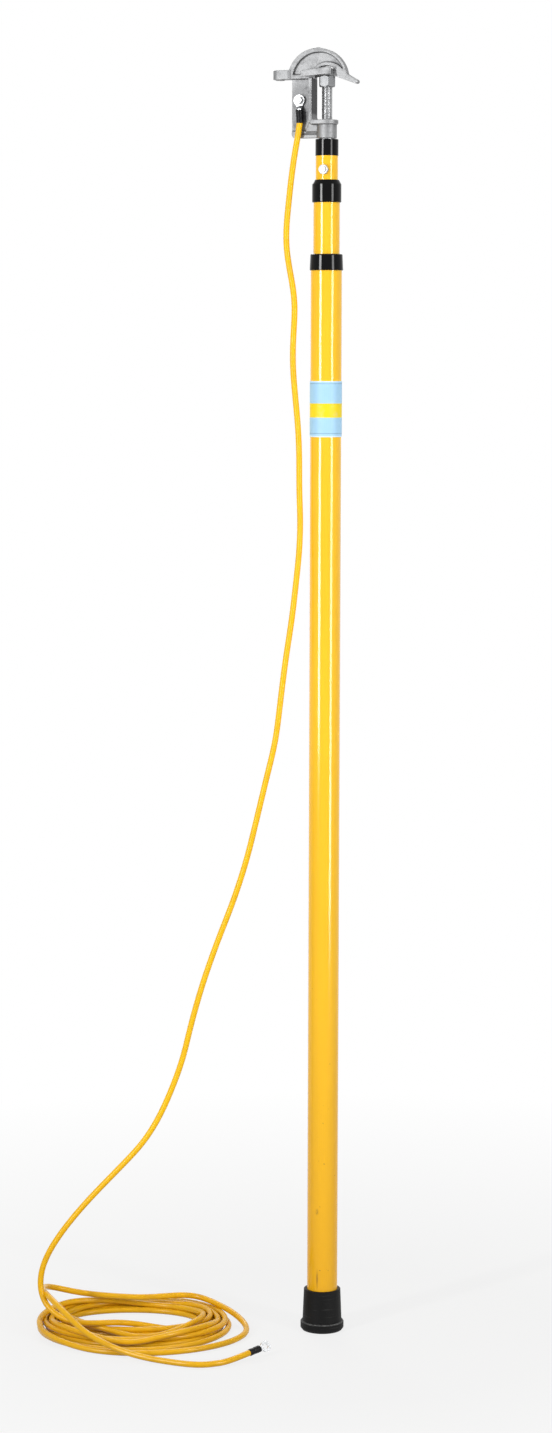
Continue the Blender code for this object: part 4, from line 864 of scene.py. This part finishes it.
LAST_TURN_ROUTE = [
    (-0.1780, -0.0730, 0.0260), (-0.2150, -0.0790, 0.0270), (-0.2680, -0.0660, 0.0260),
    (-0.3180, -0.0640, 0.0290), (-0.3600, -0.0610, 0.0330), (-0.3930, -0.0570, 0.0400),
    (-0.4120, -0.0450, 0.0500), (-0.4180, -0.0260, 0.0560), (-0.4180, -0.0050, 0.0560),
    (-0.4140, 0.0160, 0.0530), (-0.4060, 0.0390, 0.0480), (-0.3920, 0.0670, 0.0420),
    (-0.3680, 0.0960, 0.0340), (-0.3360, 0.1290, 0.0250), (-0.3030, 0.1520, 0.0150),
    (-0.2710, 0.1655, 0.0070), (-0.2228, 0.1850, 0.0045), (-0.1740, 0.2010, 0.0045),
    (-0.1417, 0.1900, 0.0048)]
COIL_STARTS = 100
COIL_POINT_EVERY = 20
LAST_TURN_LEAVES = 205
LANDING_LENGTH_ON_TOP = 2.06
HANGING_LENGTH = 1.0
END_HELD_LENGTH = 0.06
CABLE_STEP = 0.007
CURVE_STEPS = 24
HUMP_RADIUS = 0.16
HUMP_REACH = 20
LYING_BELOW = 0.085
CROSSING_APART = 30
WEIGHT_ROUNDS = 24
RESTING_SPAN = 0.96
SIDE_BY_SIDE = 0.88
TIDY_WIDTH = 11
HUMP_TIDY_WIDTH = 15


def run_lengths(line):
    """How far along the line each of its points lies."""
    return np.concatenate([[0], np.cumsum(np.linalg.norm(np.diff(line, axis=0), axis=1))])


def smooth_line(points, spacing):
    """Points at an even spacing on a smooth curve through the given ones."""
    route = np.array([tuple(point) for point in points])
    ends = np.vstack([2 * route[0] - route[1], route, 2 * route[-1] - route[-2]])
    dense = []
    for i in range(len(route) - 1):
        before, start, stop, after = ends[i:i + 4]
        for t in np.arange(0, 1, 1 / CURVE_STEPS):
            dense.append(0.5 * (2 * start + (stop - before) * t
                                + (2 * before - 5 * start + 4 * stop - after) * t ** 2
                                + (3 * start - before - 3 * stop + after) * t ** 3))
    dense.append(route[-1])
    line = np.array(dense)
    gone = run_lengths(line)
    goals = np.linspace(0, gone[-1], int(round(gone[-1] / spacing)) + 1)
    return np.stack([np.interp(goals, gone, line[:, k]) for k in range(3)], axis=1)


def coil_points():
    """The coil's turns in plan, each met at its left, front, right and back."""
    turns = np.array(COIL_TURNS)
    angles = np.arange(COIL_STARTS, 360 * (len(turns) - 1) + LAST_TURN_LEAVES, COIL_POINT_EVERY)
    keys = 360 * np.arange(len(turns))
    left, front, right, back = [np.interp(angles, keys + 90 * side, turns[:, side])
                                for side in range(4)]
    along = (left + right) / 2 - (right - left) / 2 * np.cos(np.radians(angles))
    out = (front + back) / 2 + (front - back) / 2 * np.sin(np.radians(angles))
    return [in_view_axes(x, y, CABLE_RADIUS) for x, y in zip(along, out)]


def lay_down(line, least, order):
    """Rest each stretch on those laid before it, in long low humps."""
    span = CABLE_DIAMETER * RESTING_SPAN
    flat = line[:, :2]
    places = np.arange(len(line))
    gap = np.linalg.norm(flat[:, None, :] - flat[None, :, :], axis=2)
    apart = np.abs(places[:, None] - places[None, :]) > CROSSING_APART
    lying = least < LYING_BELOW
    pairs = lying[:, None] & lying[None, :] & (order[:, None] > order[None, :])
    above, under = np.nonzero((gap < CABLE_DIAMETER * SIDE_BY_SIDE) & pairs & apart)
    lift = np.sqrt(span ** 2 - gap[above, under] ** 2)
    height = least.copy()
    window = np.arange(-HUMP_REACH, HUMP_REACH + 1)
    drop = (window * CABLE_STEP) ** 2 / (2 * HUMP_RADIUS)
    for _ in range(WEIGHT_ROUNDS):
        needed = np.full(len(line), CABLE_RADIUS)
        np.maximum.at(needed, above, height[under] + lift)
        padded = np.pad(needed, HUMP_REACH, mode="edge")
        humps = np.max([padded[HUMP_REACH + shift:HUMP_REACH + shift + len(line)] - fall
                        for shift, fall in zip(window, drop)], axis=0)
        height = np.maximum(humps, least)
    return height


def ironed(values, width):
    """A running mean that leaves the ends where they are."""
    half = width // 2
    share = np.hanning(width + 2)[1:-1]
    before = 2 * values[:1] - values[half:0:-1]
    after = 2 * values[-1:] - values[-2:-half - 2:-1]
    padded = np.concatenate([before, values, after])
    columns = [np.convolve(column, share / share.sum(), "valid") for column in padded.T]
    return np.stack(columns, axis=1)


hanging = [CABLE_EXIT - LUG_AXIS * CABLE_INSERT, CABLE_EXIT,
           CABLE_EXIT + LUG_AXIS * STRAIGHT_AT_LUG]
hanging += [in_view_axes(*point) for point in HANGING_ROUTE]
landing = [in_view_axes(*point) for point in LANDING_ROUTE]
last_turn = [in_view_axes(*point) for point in LAST_TURN_ROUTE]
tail_end = END_CENTRE + END_AXIS * SLEEVE_TO_CABLE + END_FACE * BARREL_OFFSET
tail = [tail_end + END_AXIS * STRAIGHT_AT_END, tail_end, tail_end - END_AXIS * CABLE_INSERT]
route = hanging + landing + coil_points() + last_turn + tail
laid = ironed(smooth_line(route, CABLE_STEP), TIDY_WIDTH)
gone = run_lengths(laid)


def place_along(point):
    """The index of the laid line's place nearest to a point, in its second half."""
    half = len(laid) // 2
    return np.argmin(np.linalg.norm(laid[half:] - np.array(point), axis=1)) + half


last_starts = place_along(last_turn[0])
thrown_over = place_along(last_turn[4])
coiled = (gone > LANDING_LENGTH_ON_TOP) & (np.arange(len(laid)) < last_starts)
laid[coiled, 2] = CABLE_RADIUS
laid[:, 2] = np.maximum(laid[:, 2], CABLE_RADIUS)
order = np.arange(len(laid)).astype(float)
incoming = gone < LANDING_LENGTH_ON_TOP
order[incoming] = thrown_over - 1 + order[incoming] / len(laid)
heights = ironed(lay_down(laid, laid[:, 2].copy(), order)[:, None], HUMP_TIDY_WIDTH)[:, 0]
on_floor = ((laid[:, 2] < LYING_BELOW) & (gone > HANGING_LENGTH)
            & (gone < gone[-1] - END_HELD_LENGTH))
laid[on_floor, 2] = np.maximum(heights[on_floor], CABLE_RADIUS)

cable_curve = bpy.data.curves.new("earth_cable_run", "CURVE")
cable_curve.dimensions = "3D"
cable_curve.bevel_depth = CABLE_RADIUS
cable_curve.bevel_resolution = 6
cable_curve.use_fill_caps = True
run = cable_curve.splines.new("POLY")
run.points.add(len(laid) - 1)
for knot, point in zip(run.points, laid):
    knot.co = (*point, 1.0)
cable = bpy.data.objects.new("earth_cable_run", cable_curve)
bpy.context.scene.collection.objects.link(cable)

cable_look = Look("cable_sheath", CABLE_YELLOW, roughness=0.22, specular=0.20)
grime = cable_look.noise(cable_look.place(), GRIME_SCALE, detail=5.0, roughness=0.6)
fine = cable_look.noise(cable_look.place(), SHEATH_GRAIN_SCALE, detail=2.0)
# Painted shade darkens the sheath near the floor; the cloudy noise adds real grime.
cable_low_shade = 1 - cable_look.ramp(cable_look.height(), *CABLE_SHADE_HEIGHTS)
grime_and_low_shade = cable_look.ramp(grime, 0.50, 0.80) * 0.30 + cable_low_shade * 0.46
cable_look.set("Base Color", cable_look.mix(grime_and_low_shade, CABLE_YELLOW, CABLE_GRIME_AND_SHADE))
cable_look.set("Roughness", 0.17 + grime * 0.14)
cable_look.set("Normal", cable_look.bump(fine, SHEATH_GRAIN_DEPTH, strength=0.5))
cable_curve.materials.append(cable_look.material)
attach(cable, "clamp")
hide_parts("earth_cable", "cable_coil", "cable_tail")
